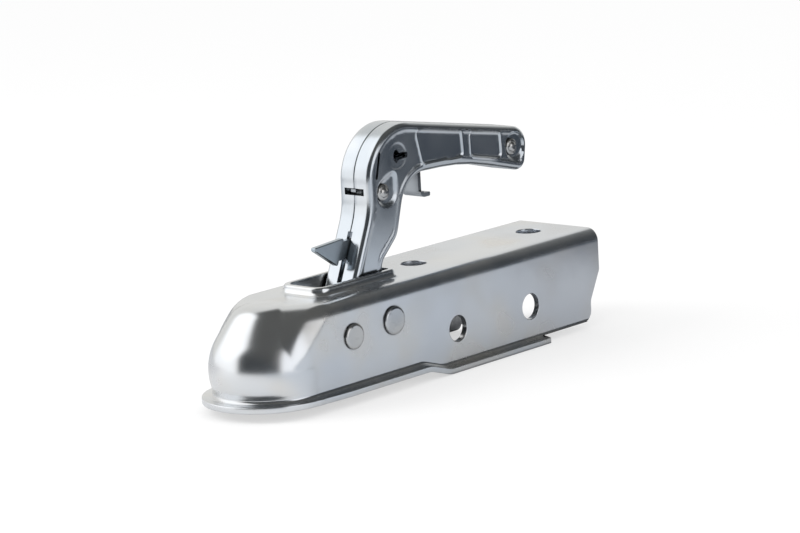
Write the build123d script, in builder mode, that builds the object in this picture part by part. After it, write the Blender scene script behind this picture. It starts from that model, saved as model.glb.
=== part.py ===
import os
from math import cos, radians, sin, sqrt, tan

from build123d import *

os.makedirs("parts", exist_ok=True)

# Frame: origin at the ball's centre, +X rearwards along the drawbar, +Z up, left side towards -Y

# Ball and sheet
ball_d = 50.0
ball_play = 0.5
sheet = 3.0
socket_r = ball_d / 2 + ball_play
dome_r = socket_r + sheet

# Channel over the drawbar
drawbar_w = 50.0
drawbar_play = 0.25
wall_in = drawbar_w / 2 + drawbar_play
wall_out = wall_in + sheet
roof_z = 31.3
bend_r = 6.5
rear_x = 219.5
rear_low_x = 211.5
rear_step_z = 9.0
rear_slope_z = -6.0
rear_corner_r = 5.0

# Nose: pad on the dome's crown and slanted shoulders beside it
pad_r = 13.0
pad_lean = 30.0
pad_rise = 0.08
pad_foot_r = 18.5
pad_edge_r = 4.0
pad_blend_r = 8.0
shoulder_x = 15.0
shoulder_tuck = 0.4

# Flange round the bottom edge
flange_w = 5.75
nose_flange_w = 4.0
flare_x = 20.0
flange_front_z = -15.0
flange_rear_z = -19.5
kink_x = 79.0
kink_run = 14.5
kink_r = 10.0
flange_end_x = 171.0
flange_bend_r = 2.0
lip_z = -15.8
trim_z = -40.0

# Bolt holes
bolt_hole_d = 13.0
top_hole_x = 108.0
top_hole_pitch = 90.0
side_hole_x = 106.7
side_hole_pitch = 56.5
side_hole_z = 0.5

# Handle slot and its raised collar
slot_front_x = 27.5
slot_rear_x = 77.5
slot_play = 0.7
slot_corner_r = 4.0
collar_h = 4.4
collar_t = 3.0
collar_foot_r = 2.5
collar_lip_r = 1.0

# Cross rivets
clamp_x = 30.5
clamp_z = 12.0
pivot_x = 59.6
pivot_z = 14.0
clamp_rivet_d = 10.0
pivot_rivet_d = 8.0
clamp_head_d = 12.5
pivot_head_d = 14.0
head_h = 1.6
spacer_t = 2.0
running_fit = 0.05
face_gap = 0.3

# Handle half shells
handle_half = 10.0
shell = 2.0
rim_r = 2.6
sleeve_d = 14.0
foot_x = 50.7
foot_z = 26.0
foot_r = 4.0
front_x = 67.5
front_z = 64.0
front_r = 30.0
crown_lean = 0.5
crown_x = front_x + crown_lean
crown_z = 108.7
crown_r = 27.0
tip_x = 190.0
tip_top_z = 86.8
tip_r = 10.0
tip_lean = 3.5
tip_under_z = 64.5
tip_under_r = 6.0
palm_x = 140.0
palm_z = 76.5
palm_r = 150.0
crook_x = 95.7
crook_z = 77.5
crook_r = 18.0
neck_in = 8.2
neck_z = 49.0
neck_r = 12.0
heel_in = 19.7
heel_z = 38.5
heel_r = 6.0
root_in = 22.2
root_rise = 4.0
root_r = 3.0
cheek_z = 24.0
cheek_half = 11.8
cheek_drop = 2.0
cheek_r = 9.0
cheek_low = 6.0
cheek_low_half = 7.0
cheek_low_r = 6.0
shank_open_z = 56.0
shank_open_in = 25.0
shank_open_h = 20.0
elbow_x = 78.2
elbow_z = 71.9
grip_x = 176.7
grip_z = 78.7
handle_rivet_d = 6.0
handle_head_d = 8.4
handle_head_h = 1.8
distance_d = 9.0
dent = 0.8
dent_shift = 2.6
elbow_dent_r = 7.3
elbow_tail = (7.0, 6.0)
elbow_tail_r = 3.0
grip_dent_r = 7.6
panel_depth = 0.6
panel_corner_r = 3.0
grip_panel = [(103.2, 99.6), (138.2, 93.3), (139.2, 79.3), (108.2, 80.2)]
tip_panel = [(144.2, 92.2), (168.0, 88.0), (168.6, 73.6), (144.5, 78.6)]
key_x = 89.0
key_z = 88.0
key_dish_r = 6.4
key_half_w = 2.1
key_half_h = 3.2
key_reach = 8.0
slit_x = 75.1
slit_z = 85.5
slit_l = 12.0
slit_w = 1.6
slit_dir = 77.0
front_notch_z = 71.6
front_notch_h = 3.4
front_notch_half = 6.2
mouth_x = 100.0
mouth_w = 22.0

# Linkage
link_drop = 13.5
link_pin_d = 6.0
link_t = 6.0
link_w = 11.0
link_play = 0.4
clamp_pin_x = 36.0
clamp_pin_z = -4.0
clamp_half = 15.0
clamp_boss_r = 7.4
fork_r = 6.0
toe_z = -13.6
jaw_reach = 8.0
jaw_back = 2.0
jaw_drop = 2.0
jaw_tuck = 1.0
jaw_corner_r = 1.5
jaw_edge_r = 1.0
pin_left = 9.0
pin_right = 19.5

# Trigger
trigger_t = 3.0
catch_depth = 1.6
catch_w = 4.0
catch_gap = 0.3
catch_dir = -17.5
boss_r = 7.2
leg_gap = 1.4
leg_w = 4.2
leg_top = 14.0
leg_low = 6.0
arm_gap = 1.0
arm_h = 6.0
arm_root = 8.0
arm_clear = 17.0
tab_h = 1.4
tab_lift = 0.7
tab_out = 0.4
pull_w = 12.0
pull_neck_w = 9.0
pull_x = 109.5
pull_t = 2.2
pull_foot = 7.0
pull_z = 63.6
pull_bend_r = 3.0
pull_edge_r = 0.8

# Indicator
flag_t = 2.4
flag_half = 1.6
flag_nose = (-15.0, 25.2)
flag_chin = (-14.4, 23.4)
flag_high = 26.5
flag_low = 13.5
flag_gap = 5.4
flag_seat = 1.2
flag_corner_r = 0.8
flag_edge_r = 0.5
stem_front = 2.9
stem_back = 6.5
stem_top = 25.0
stem_low = 16.0
stem_foot = (-4.2, 1.8)
stem_waist = 2.8
stem_rise = 3.0
flag_slot_low = 31.0
flag_slot_high = 54.5

# Springs
spring_wire = 2.4
spring_turns = 2
spring_pitch = 2.5
spring_r = 10.0
leaf_t = 0.8
leaf_w = 6.0
leaf_start = 33.5
leaf_l = 23.0
leaf_fold = 9.0
leaf_bend_r = 2.5

# Points shared by several pieces
pivot = (pivot_x, pivot_z)
clamp_axis = (clamp_x, clamp_z)
elbow = (elbow_x, elbow_z)
grip_end = (grip_x, grip_z)
link_axis = (pivot_x, pivot_z - link_drop)
clamp_pin_axis = (clamp_pin_x, clamp_pin_z)
inside_half = handle_half - shell


def across(x, z):
    """Plane through a cross axis: local x runs along +Y, local y along +Z."""
    return Plane(origin=(x, 0, z), x_dir=(0, 1, 0), z_dir=(1, 0, 0))


def axis_at(x, z):
    """Cross axis parallel to Y."""
    return Axis((x, 0, z), (0, 1, 0))


def tube(centre, outer_d, inner_d, y_low, y_high):
    """Distance tube or ring along Y between two stations."""
    with BuildPart() as ring:
        with BuildSketch(Plane.XZ.offset(-y_low)):
            with Locations(centre):
                Circle(outer_d / 2)
                if inner_d > 0:
                    Circle(inner_d / 2, mode=Mode.SUBTRACT)
        extrude(amount=-(y_high - y_low))
    return ring.part


def rivet(centre, shank_d, head_d, height, half_grip):
    """Peened rivet along Y: shank with a low crowned head on each outer face."""
    flat = head_d * 0.3
    with BuildPart() as body:
        with BuildSketch(across(*centre)):
            with BuildLine():
                Polyline(
                    (half_grip + height, 0),
                    (half_grip + height, flat),
                )
                ThreePointArc(
                    (half_grip + height, flat),
                    (half_grip + height * 0.8, head_d * 0.44),
                    (half_grip, head_d / 2),
                )
                Polyline(
                    (half_grip, head_d / 2),
                    (half_grip, shank_d / 2),
                    (0, shank_d / 2),
                    (0, 0),
                    (half_grip + height, 0),
                )
            make_face()
        revolve(axis=axis_at(*centre))
        mirror(about=Plane.XZ)
    return body.part


def drawn_dome(inset, low_z):
    """Ball dome with the raised pad on its crown, at a depth below the outer skin."""
    dome = dome_r - inset
    roof = roof_z + pad_rise - inset
    pad = pad_r - inset * tan(radians(pad_lean))
    foot = pad_foot_r * dome / dome_r
    foot_z = sqrt(dome**2 - foot**2)
    with BuildPart() as form:
        with BuildSketch(Plane.XZ) as section:
            with BuildLine():
                Polyline((foot, foot_z), (pad, roof), (0, roof), (0, low_z), (dome, low_z), (dome, 0))
                ThreePointArc((dome, 0), (dome * cos(0.4), dome * sin(0.4)), (foot, foot_z))
            make_face()
            crown = section.vertices().filter_by(lambda v: abs(v.Y - roof) < 0.01 and v.X > 1)
            fillet(crown, radius=pad_edge_r - inset / 2)
            root = section.vertices().filter_by(lambda v: abs(v.Y - foot_z) < 0.01)
            fillet(root, radius=pad_blend_r)
        revolve(axis=Axis.Z)
    return form.part


def drawn_channel(inset, low_z, long_by):
    """Channel with rounded roof edges and slanted shoulders, at a depth below the outer skin."""
    roof = roof_z - inset
    half = wall_out - inset
    foot_z = sqrt(dome_r**2 - pad_foot_r**2)
    with BuildPart() as form:
        with BuildSketch(Plane.YZ):
            with Locations((0, (roof + low_z) / 2)):
                Rectangle(2 * half, roof - low_z)
        extrude(amount=rear_x + long_by)
        for side in (-1, 1):
            along_roof = Vector(shoulder_x, side * (wall_out - pad_r + shoulder_tuck), 0)
            down_pad = Vector(0, side * (pad_foot_r - pad_r), foot_z - roof_z)
            facing = along_roof.cross(down_pad).normalized()
            facing = facing * (1 if facing.Z > 0 else -1)
            corner = Vector(shoulder_x, side * wall_out, roof_z) - facing * inset
            split(bisect_by=Plane(origin=corner, z_dir=facing), keep=Keep.BOTTOM)
        rounded = form.edges().filter_by(lambda e: e.center().X > 1 and e.center().Z > low_z + 5)
        rounded = rounded.filter_by(lambda e: e.center().X < rear_x + long_by - 1)
        fillet(rounded, radius=bend_r - inset)
    return form.part


def drawn_form(inset, low_z, long_by):
    """Dome and channel in one."""
    with BuildPart() as form:
        add(drawn_dome(inset, low_z))
        add(drawn_channel(inset, low_z, long_by))
    return form.part


def slot_outline(grow):
    """Plan of the handle slot: rounded corners at the front, square at the rear."""
    half = handle_half + slot_play + grow
    front = slot_front_x - grow
    rear = slot_rear_x + grow
    with BuildSketch() as plan:
        with Locations(((front + rear) / 2, 0)):
            Rectangle(rear - front, 2 * half)
        fillet(plan.vertices().group_by(Axis.X)[0], radius=slot_corner_r + grow)
    return plan.sketch


# Side view of the flange strip: level under the nose, one step down to the drawbar
strip_front_x = -dome_r - 2 * flange_w
with BuildLine() as lower_edge:
    FilletPolyline(
        (strip_front_x, flange_front_z),
        (kink_x, flange_front_z),
        (kink_x + kink_run, flange_rear_z),
        (rear_x, flange_rear_z),
        radius=kink_r,
    )
with BuildLine() as upper_edge:
    add(Pos(0, sheet) * lower_edge.line)

with BuildPart() as flange:
    with BuildSketch(Plane.XZ):
        with BuildLine():
            add(lower_edge.line)
            add(upper_edge.line)
            Line((strip_front_x, flange_front_z), (strip_front_x, flange_front_z + sheet))
            Line((rear_x, flange_rear_z), (rear_x, flange_rear_z + sheet))
        make_face()
    extrude(amount=wall_out + 2 * flange_w, both=True)
    with BuildSketch(Plane.XY.offset(trim_z)):
        Circle(dome_r + nose_flange_w)
        with Locations((flare_x, 0)):
            Rectangle(rear_x - flare_x, 2 * (wall_out + flange_w), align=(Align.MIN, Align.CENTER))
        make_hull()
    extrude(amount=-2 * trim_z, mode=Mode.INTERSECT)


def at_flange_root(edge):
    """True for the edges where the flange's upper face meets the walls or the dome."""
    for point in edge.positions((0.1, 0.5, 0.9)):
        if not flange_rear_z + sheet / 2 < point.Z < flange_front_z + 1.5 * sheet:
            return False
        reach = sqrt(point.X**2 + point.Y**2) - dome_r if point.X < 4 else abs(point.Y) - wall_out
        if abs(reach) > 0.1:
            return False
    return True


# Housing: one drawn sheet with its flange, collar, rivet holes and bolt holes
collar_plan = slot_outline(collar_t)
slot_plan = slot_outline(0)
with BuildPart() as housing:
    add(drawn_form(0, trim_z, 0))
    with BuildSketch(Plane.XZ):
        with BuildLine():
            add(lower_edge.line)
            Polyline(
                (rear_x, flange_rear_z),
                (rear_x, 2 * trim_z),
                (strip_front_x, 2 * trim_z),
                (strip_front_x, flange_front_z),
            )
        make_face()
    extrude(amount=2 * wall_out, both=True, mode=Mode.SUBTRACT)
    add(flange.part)
    fillet(housing.edges().filter_by(at_flange_root), radius=flange_bend_r)
    add(drawn_form(sheet, 2 * trim_z, sheet), mode=Mode.SUBTRACT)
    with BuildSketch(Plane.XZ):
        with Locations((flange_end_x, lip_z)):
            Rectangle(rear_x, -trim_z, align=(Align.MIN, Align.MAX))
        with BuildLine():
            Polyline(
                (rear_x + sheet, rear_step_z),
                (rear_x, rear_step_z),
                (rear_low_x, rear_slope_z),
                (rear_low_x, 2 * trim_z),
                (rear_x + sheet, 2 * trim_z),
                close=True,
            )
        make_face()
    extrude(amount=2 * wall_out, both=True, mode=Mode.SUBTRACT)
    heel = housing.edges().filter_by(Axis.Y)
    heel = heel.filter_by(lambda e: (e.center() - Vector(rear_low_x, e.center().Y, lip_z)).length < 0.01)
    fillet(heel, radius=rear_corner_r)
    with BuildSketch(Plane.XY.offset(roof_z - sheet / 2)):
        add(collar_plan)
    extrude(amount=sheet / 2 + collar_h)
    collar_top = housing.edges().filter_by(lambda e: abs(e.bounding_box().min.Z - roof_z - collar_h) < 0.01)
    fillet(collar_top, radius=collar_lip_r)
    collar_foot = housing.edges().filter_by(
        lambda e: abs(e.bounding_box().max.Z - roof_z) < 0.01
        and abs(e.bounding_box().min.Z - roof_z) < 0.01
        and e.bounding_box().min.X > slot_front_x - collar_t - 0.1
        and e.bounding_box().max.X < slot_rear_x + collar_t + 0.1
        and abs(e.center().Y) < handle_half + slot_play + collar_t + 0.1
    )
    fillet(collar_foot, radius=collar_foot_r)
    with BuildSketch(Plane.XY.offset(roof_z - 2 * sheet)):
        add(slot_plan)
    extrude(amount=3 * sheet + collar_h, mode=Mode.SUBTRACT)
    with BuildSketch(Plane.XY):
        with Locations((top_hole_x, 0), (top_hole_x + top_hole_pitch, 0)):
            Circle(bolt_hole_d / 2)
    extrude(amount=roof_z + sheet, mode=Mode.SUBTRACT)
    with BuildSketch(Plane.XZ):
        with Locations((side_hole_x, side_hole_z), (side_hole_x + side_hole_pitch, side_hole_z)):
            Circle(bolt_hole_d / 2)
        with Locations(clamp_axis):
            Circle(clamp_rivet_d / 2)
        with Locations(pivot):
            Circle(pivot_rivet_d / 2)
    extrude(amount=2 * wall_out, both=True, mode=Mode.SUBTRACT)
housing.part.label = "housing"
export_step(housing.part, "parts/housing.step")

# Cross rivets of the housing
with BuildPart() as clamp_rivet:
    add(rivet(clamp_axis, clamp_rivet_d, clamp_head_d, head_h, wall_out))
clamp_rivet.part.label = "clamp_rivet"
export_step(clamp_rivet.part, "parts/clamp_rivet.step")

with BuildPart() as handle_rivet:
    add(rivet(pivot, pivot_rivet_d, pivot_head_d, head_h, wall_out))
handle_rivet.part.label = "handle_rivet"
export_step(handle_rivet.part, "parts/handle_rivet.step")


def catch_outline(tip_r):
    """Right-angled wedge that points at the handle's pivot, with its tip at a radius from it."""
    way = Vector(cos(radians(catch_dir)), sin(radians(catch_dir)))
    aside = Vector(-way.Y, way.X)
    tip = Vector(*pivot) + way * tip_r
    upper = tip + (way + aside) * catch_w
    lower = tip + (way - aside) * catch_w
    return [(point.X, point.Y) for point in (tip, upper, lower)]


# Sleeve the handle turns on, with the notch for the catch
with BuildPart() as pivot_sleeve:
    add(tube(pivot, sleeve_d, pivot_rivet_d + 2 * running_fit, -wall_in, wall_in))
    with BuildSketch(Plane.XZ):
        with BuildLine():
            Polyline(*catch_outline(sleeve_d / 2 - catch_depth), close=True)
        make_face()
    extrude(amount=trigger_t / 2 + 2 * catch_gap, both=True, mode=Mode.SUBTRACT)
pivot_sleeve.part.label = "pivot_sleeve"
export_step(pivot_sleeve.part, "parts/pivot_sleeve.step")

# Spacers that keep the handle and the jaw in the middle
handle_ring_d = sleeve_d + 2 * running_fit
handle_ring = tube(pivot, handle_ring_d + 2 * spacer_t, handle_ring_d, handle_half + face_gap, wall_in)
with BuildPart() as handle_spacer_right:
    add(handle_ring)
handle_spacer_right.part.label = "handle_spacer_right"
export_step(handle_spacer_right.part, "parts/handle_spacer_right.step")

with BuildPart() as handle_spacer_left:
    add(mirror(handle_ring, about=Plane.XZ))
handle_spacer_left.part.label = "handle_spacer_left"
export_step(handle_spacer_left.part, "parts/handle_spacer_left.step")

clamp_ring_d = clamp_rivet_d + 2 * running_fit
clamp_ring = tube(clamp_axis, clamp_ring_d + 2 * spacer_t, clamp_ring_d, clamp_half + face_gap, wall_in)
with BuildPart() as clamp_spacer_right:
    add(clamp_ring)
clamp_spacer_right.part.label = "clamp_spacer_right"
export_step(clamp_spacer_right.part, "parts/clamp_spacer_right.step")

with BuildPart() as clamp_spacer_left:
    add(mirror(clamp_ring, about=Plane.XZ))
clamp_spacer_left.part.label = "clamp_spacer_left"
export_step(clamp_spacer_left.part, "parts/clamp_spacer_left.step")

# Jaw that closes under the back of the ball
with BuildPart() as ball_clamp:
    with BuildSketch(Plane.XZ):
        with Locations(clamp_axis):
            Circle(clamp_boss_r)
        with Locations(clamp_pin_axis):
            Circle(fork_r)
        make_hull()
        with BuildLine():
            FilletPolyline(
                (clamp_x - clamp_boss_r + jaw_tuck, clamp_z - jaw_drop),
                (socket_r - jaw_reach, toe_z),
                (socket_r + jaw_back, toe_z),
                (clamp_pin_x + fork_r / 2, clamp_pin_z - fork_r + jaw_tuck),
                (clamp_x + clamp_boss_r - jaw_tuck, clamp_z - jaw_drop),
                radius=jaw_corner_r,
                close=True,
            )
        make_face()
    extrude(amount=clamp_half, both=True)
    side_edges = ball_clamp.edges().filter_by(lambda e: abs(abs(e.center().Y) - clamp_half) < 0.01)
    fillet(side_edges, radius=jaw_edge_r)
    Sphere(radius=socket_r - face_gap / 2, mode=Mode.SUBTRACT)
    with BuildSketch(Plane.XZ):
        with Locations(clamp_axis):
            Circle(clamp_rivet_d / 2 + running_fit)
        with Locations(clamp_pin_axis):
            Circle(link_pin_d / 2)
    extrude(amount=2 * clamp_half, both=True, mode=Mode.SUBTRACT)
    with BuildSketch(Plane.XZ):
        with Locations((clamp_pin_x - link_w / 2 - 2 * face_gap, clamp_pin_z + link_w / 2 + 4 * face_gap)):
            Rectangle(4 * fork_r, 8 * fork_r, align=(Align.MIN, Align.MAX))
    extrude(amount=link_t / 2 + face_gap, both=True, mode=Mode.SUBTRACT)
ball_clamp.part.label = "ball_clamp"
export_step(ball_clamp.part, "parts/ball_clamp.step")

with BuildPart() as clamp_pin:
    add(tube(clamp_pin_axis, link_pin_d, 0, -pin_left, pin_right))
clamp_pin.part.label = "clamp_pin"
export_step(clamp_pin.part, "parts/clamp_pin.step")

# Link between handle and jaw
with BuildPart() as pull_link:
    with BuildSketch(Plane.XZ):
        with Locations(link_axis, clamp_pin_axis):
            Circle(link_w / 2)
        make_hull()
        with Locations(link_axis):
            Circle(link_pin_d / 2 + running_fit, mode=Mode.SUBTRACT)
        with Locations(clamp_pin_axis):
            Circle(link_pin_d / 2 + link_play, mode=Mode.SUBTRACT)
    extrude(amount=link_t / 2, both=True)
pull_link.part.label = "pull_link"
export_step(pull_link.part, "parts/pull_link.step")

with BuildPart() as link_rivet:
    add(tube(link_axis, link_pin_d, 0, -handle_half, handle_half))
link_rivet.part.label = "link_rivet"
export_step(link_rivet.part, "parts/link_rivet.step")

# Handle outline in side view, from the foot in the slot round the grip and back to the cheeks
grip_radii = [foot_r, front_r, crown_r, tip_r, tip_under_r, palm_r, crook_r]
handle_radii = grip_radii + [neck_r, heel_r, root_r, cheek_r, cheek_low_r, cheek_low_r, cheek_r]
with BuildSketch() as handle_side:
    with BuildLine():
        FilletPolyline(
            (foot_x, foot_z),
            (front_x, front_z),
            (crown_x, crown_z),
            (tip_x, tip_top_z),
            (tip_x - tip_lean, tip_under_z),
            (palm_x, palm_z),
            (crook_x, crook_z),
            (crook_x - neck_in, neck_z),
            (crook_x - heel_in, heel_z),
            (crook_x - root_in, foot_z + root_rise),
            (pivot_x + cheek_half, pivot_z - cheek_drop),
            (link_axis[0] + cheek_low_half, link_axis[1] - cheek_low),
            (link_axis[0] - cheek_low_half, link_axis[1] - cheek_low),
            (pivot_x - cheek_half, pivot_z - cheek_drop),
            radius=handle_radii,
            close=True,
        )
    make_face()

with BuildSketch() as handle_hollow:
    add(handle_side.sketch)
    offset(amount=-shell, mode=Mode.REPLACE)

# Half shells of the handle, pressed from sheet
with BuildPart() as handle_left:
    with BuildSketch(Plane.XZ):
        add(handle_side.sketch)
    extrude(amount=handle_half)
    rim = handle_left.edges().filter_by(lambda e: e.bounding_box().max.Y < 0.01 - handle_half)
    fillet(rim, radius=rim_r)
    with BuildSketch(Plane.XZ):
        add(handle_hollow.sketch)
    extrude(amount=inside_half, mode=Mode.SUBTRACT)
    with BuildSketch(Plane.XZ):
        with Locations((pivot_x, cheek_z)):
            Rectangle(4 * cheek_half, 4 * cheek_half, align=(Align.CENTER, Align.MAX))
        with Locations((elbow_x, shank_open_z)):
            Rectangle(crook_x - elbow_x + 3 * shell, shank_open_z - cheek_z, align=(Align.MIN, Align.MAX))
        with Locations((crook_x - shank_open_in, cheek_z)):
            Rectangle(shank_open_in + 2 * shell, shank_open_h, align=(Align.MIN, Align.MIN))
    extrude(amount=inside_half, mode=Mode.SUBTRACT)
    with BuildSketch(Plane.XZ):
        with Locations((foot_x - shell, flag_slot_low)):
            Rectangle(front_x - foot_x, flag_slot_high - flag_slot_low, align=(Align.MIN, Align.MIN))
    extrude(amount=flag_t / 2 + face_gap, mode=Mode.SUBTRACT)
    with BuildSketch(Plane.XZ):
        with Locations((front_x - 2 * shell, front_notch_z)):
            Rectangle(3.5 * shell, front_notch_h, align=(Align.MIN, Align.MIN))
    extrude(amount=front_notch_half, mode=Mode.SUBTRACT)
    with BuildSketch(Plane.XZ):
        with Locations((mouth_x, palm_z)):
            Rectangle(mouth_w, 3 * shell, align=(Align.MIN, Align.CENTER))
    extrude(amount=pull_w / 2 + 2 * face_gap, mode=Mode.SUBTRACT)
    with BuildSketch(Plane.XZ.offset(handle_half)):
        with Locations((elbow_x + dent_shift, elbow_z)):
            Circle(elbow_dent_r)
        with Locations((elbow_x + elbow_tail[0], elbow_z + elbow_tail[1])):
            Circle(elbow_tail_r)
        make_hull()
        with Locations((grip_x + dent_shift, grip_z)):
            Circle(grip_dent_r)
    extrude(amount=-dent, mode=Mode.SUBTRACT)
    with BuildSketch(Plane.XZ.offset(handle_half)):
        with BuildLine():
            FilletPolyline(*grip_panel, radius=panel_corner_r, close=True)
        make_face()
        with BuildLine():
            FilletPolyline(*tip_panel, radius=panel_corner_r, close=True)
        make_face()
        with Locations((key_x, key_z)):
            Circle(key_dish_r)
    extrude(amount=-panel_depth, mode=Mode.SUBTRACT)
    with BuildSketch(Plane.XZ):
        with Locations((key_x, key_z)):
            Ellipse(key_half_w, key_half_h)
            Rectangle(key_reach, key_half_h, align=(Align.MIN, Align.CENTER))
        with Locations((slit_x, slit_z)):
            SlotCenterToCenter(slit_l, slit_w, rotation=slit_dir)
        with Locations(pivot):
            Circle(sleeve_d / 2 + running_fit)
        with Locations(link_axis):
            Circle(link_pin_d / 2)
        with Locations(elbow, grip_end):
            Circle(handle_rivet_d / 2)
    extrude(amount=handle_half, mode=Mode.SUBTRACT)
handle_left.part.label = "handle_left"
export_step(handle_left.part, "parts/handle_left.step")

with BuildPart() as handle_right:
    add(mirror(handle_left.part, about=Plane.XZ))
handle_right.part.label = "handle_right"
export_step(handle_right.part, "parts/handle_right.step")

# Rivets and distance sleeves that hold the half shells together
with BuildPart() as elbow_rivet:
    add(rivet(elbow, handle_rivet_d, handle_head_d, handle_head_h, handle_half - dent))
elbow_rivet.part.label = "elbow_rivet"
export_step(elbow_rivet.part, "parts/elbow_rivet.step")

with BuildPart() as grip_rivet:
    add(rivet(grip_end, handle_rivet_d, handle_head_d, handle_head_h, handle_half - dent))
grip_rivet.part.label = "grip_rivet"
export_step(grip_rivet.part, "parts/grip_rivet.step")

with BuildPart() as elbow_sleeve:
    add(tube(elbow, distance_d, handle_rivet_d + 2 * running_fit, -inside_half, inside_half))
elbow_sleeve.part.label = "elbow_sleeve"
export_step(elbow_sleeve.part, "parts/elbow_sleeve.step")

with BuildPart() as grip_sleeve:
    add(tube(grip_end, distance_d, handle_rivet_d + 2 * running_fit, -inside_half, inside_half))
grip_sleeve.part.label = "grip_sleeve"
export_step(grip_sleeve.part, "parts/grip_sleeve.step")

# Trigger: catch leg, arm in the grip and the pull below it
leg_x = pivot_x + sleeve_d / 2 + leg_gap
arm_z = palm_z + shell + arm_gap
boss_in = boss_r * cos(radians(45))
with BuildPart() as trigger:
    with BuildSketch(Plane.XZ):
        with Locations(elbow):
            Circle(boss_r)
        with BuildLine():
            Polyline(
                (elbow_x - boss_in, elbow_z - boss_in),
                (elbow_x + boss_in, elbow_z - boss_in),
                (leg_x + leg_w, pivot_z + leg_top),
                (leg_x + leg_w, pivot_z - leg_low),
                (leg_x, pivot_z - leg_low),
                (leg_x, pivot_z + leg_top),
                close=True,
            )
        make_face()
        with BuildLine():
            Polyline(*catch_outline(sleeve_d / 2 - catch_depth + catch_gap * sqrt(2)), close=True)
        make_face()
        with BuildLine():
            Polyline(
                (elbow_x - boss_in, elbow_z + boss_in),
                (elbow_x + arm_root, arm_z + arm_h),
                (pull_x + pull_t, arm_z + arm_h),
                (pull_x + pull_t, arm_z),
                (elbow_x + arm_clear, arm_z),
                (elbow_x + boss_in, elbow_z - boss_in),
                close=True,
            )
        make_face()
        with Locations((front_x - tab_out, front_notch_z + front_notch_h / 2 + tab_lift)):
            Rectangle(elbow_x - front_x, tab_h, align=(Align.MIN, Align.CENTER))
        with Locations(elbow):
            Circle(distance_d / 2 + running_fit, mode=Mode.SUBTRACT)
    extrude(amount=trigger_t / 2, both=True)
    with BuildSketch(Plane.XZ):
        with BuildLine():
            FilletPolyline(
                (pull_x + pull_t, arm_z + arm_h),
                (pull_x, arm_z + arm_h),
                (pull_x, pull_z),
                (pull_x + pull_foot, pull_z),
                (pull_x + pull_foot, pull_z + pull_t),
                (pull_x + pull_t, pull_z + pull_t),
                radius=[pull_edge_r, pull_edge_r, pull_bend_r, pull_edge_r, pull_edge_r, pull_edge_r],
                close=True,
            )
        make_face()
    extrude(amount=pull_w / 2, both=True)
    with BuildSketch(across(pull_x - pull_foot, pull_z + pull_t)):
        with Locations((pull_neck_w / 2, pull_edge_r), (-pull_neck_w / 2 - pull_w, pull_edge_r)):
            Rectangle(pull_w, arm_h + palm_z - pull_z, align=(Align.MIN, Align.MIN))
    extrude(amount=3 * pull_foot, mode=Mode.SUBTRACT)
trigger.part.label = "trigger"
export_step(trigger.part, "parts/trigger.step")

# Hairpin leaf that pushes the trigger back
grip_slope = (tip_top_z - crown_z) / (tip_x - crown_x)
leaf_drop = (shell + leaf_t / 2 + running_fit) * sqrt(1 + grip_slope**2)
leaf_near_x = crown_x + leaf_start
leaf_far_x = leaf_near_x + leaf_l
with BuildPart() as trigger_spring:
    with BuildSketch(Plane.XZ):
        with BuildLine():
            FilletPolyline(
                (leaf_far_x, crown_z + grip_slope * (leaf_far_x - crown_x) - leaf_drop),
                (leaf_near_x, crown_z + grip_slope * (leaf_near_x - crown_x) - leaf_drop),
                (leaf_near_x + leaf_fold, arm_z + arm_h + leaf_t),
                radius=leaf_bend_r,
            )
        trace(line_width=leaf_t)
    extrude(amount=leaf_w / 2, both=True)
trigger_spring.part.label = "trigger_spring"
export_step(trigger_spring.part, "parts/trigger_spring.step")

# Coupling indicator: pointed flag in front of the handle on a stem that stands on the pivot sleeve
flag_slope = (front_x - foot_x) / (front_z - foot_z)


def shank_at(height, inset):
    """Point at a height over the handle's foot, at a distance behind the handle's front edge."""
    return (foot_x + height * flag_slope + inset, foot_z + height)


def from_foot(point):
    """Point given from the handle's foot."""
    return (foot_x + point[0], foot_z + point[1])


with BuildPart() as indicator:
    with BuildSketch(Plane.XZ):
        with BuildLine():
            FilletPolyline(
                from_foot(flag_nose),
                shank_at(flag_high, -flag_gap),
                shank_at(flag_low, -flag_gap),
                from_foot(flag_chin),
                radius=flag_corner_r,
                close=True,
            )
        make_face()
    extrude(amount=flag_half, both=True)
    fillet(indicator.edges().filter_by(lambda e: abs(e.center().Y) > flag_half - face_gap), radius=flag_edge_r)
    with BuildSketch(Plane.XZ):
        with BuildLine():
            Polyline(
                (pivot_x + stem_foot[0], pivot_z + stem_rise),
                (pivot_x + stem_foot[1], pivot_z + stem_rise),
                (pivot_x + stem_waist, cheek_z),
                shank_at(stem_top, stem_back),
                shank_at(stem_top, -flag_gap - flag_seat),
                shank_at(stem_low, -flag_gap - flag_seat),
                shank_at(stem_low, stem_front),
                shank_at(cheek_z - foot_z, stem_back),
                close=True,
            )
        make_face()
        with Locations(pivot):
            Circle(sleeve_d / 2 + face_gap, mode=Mode.SUBTRACT)
    extrude(amount=flag_t / 2, both=True)
indicator.part.label = "indicator"
export_step(indicator.part, "parts/indicator.step")

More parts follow.
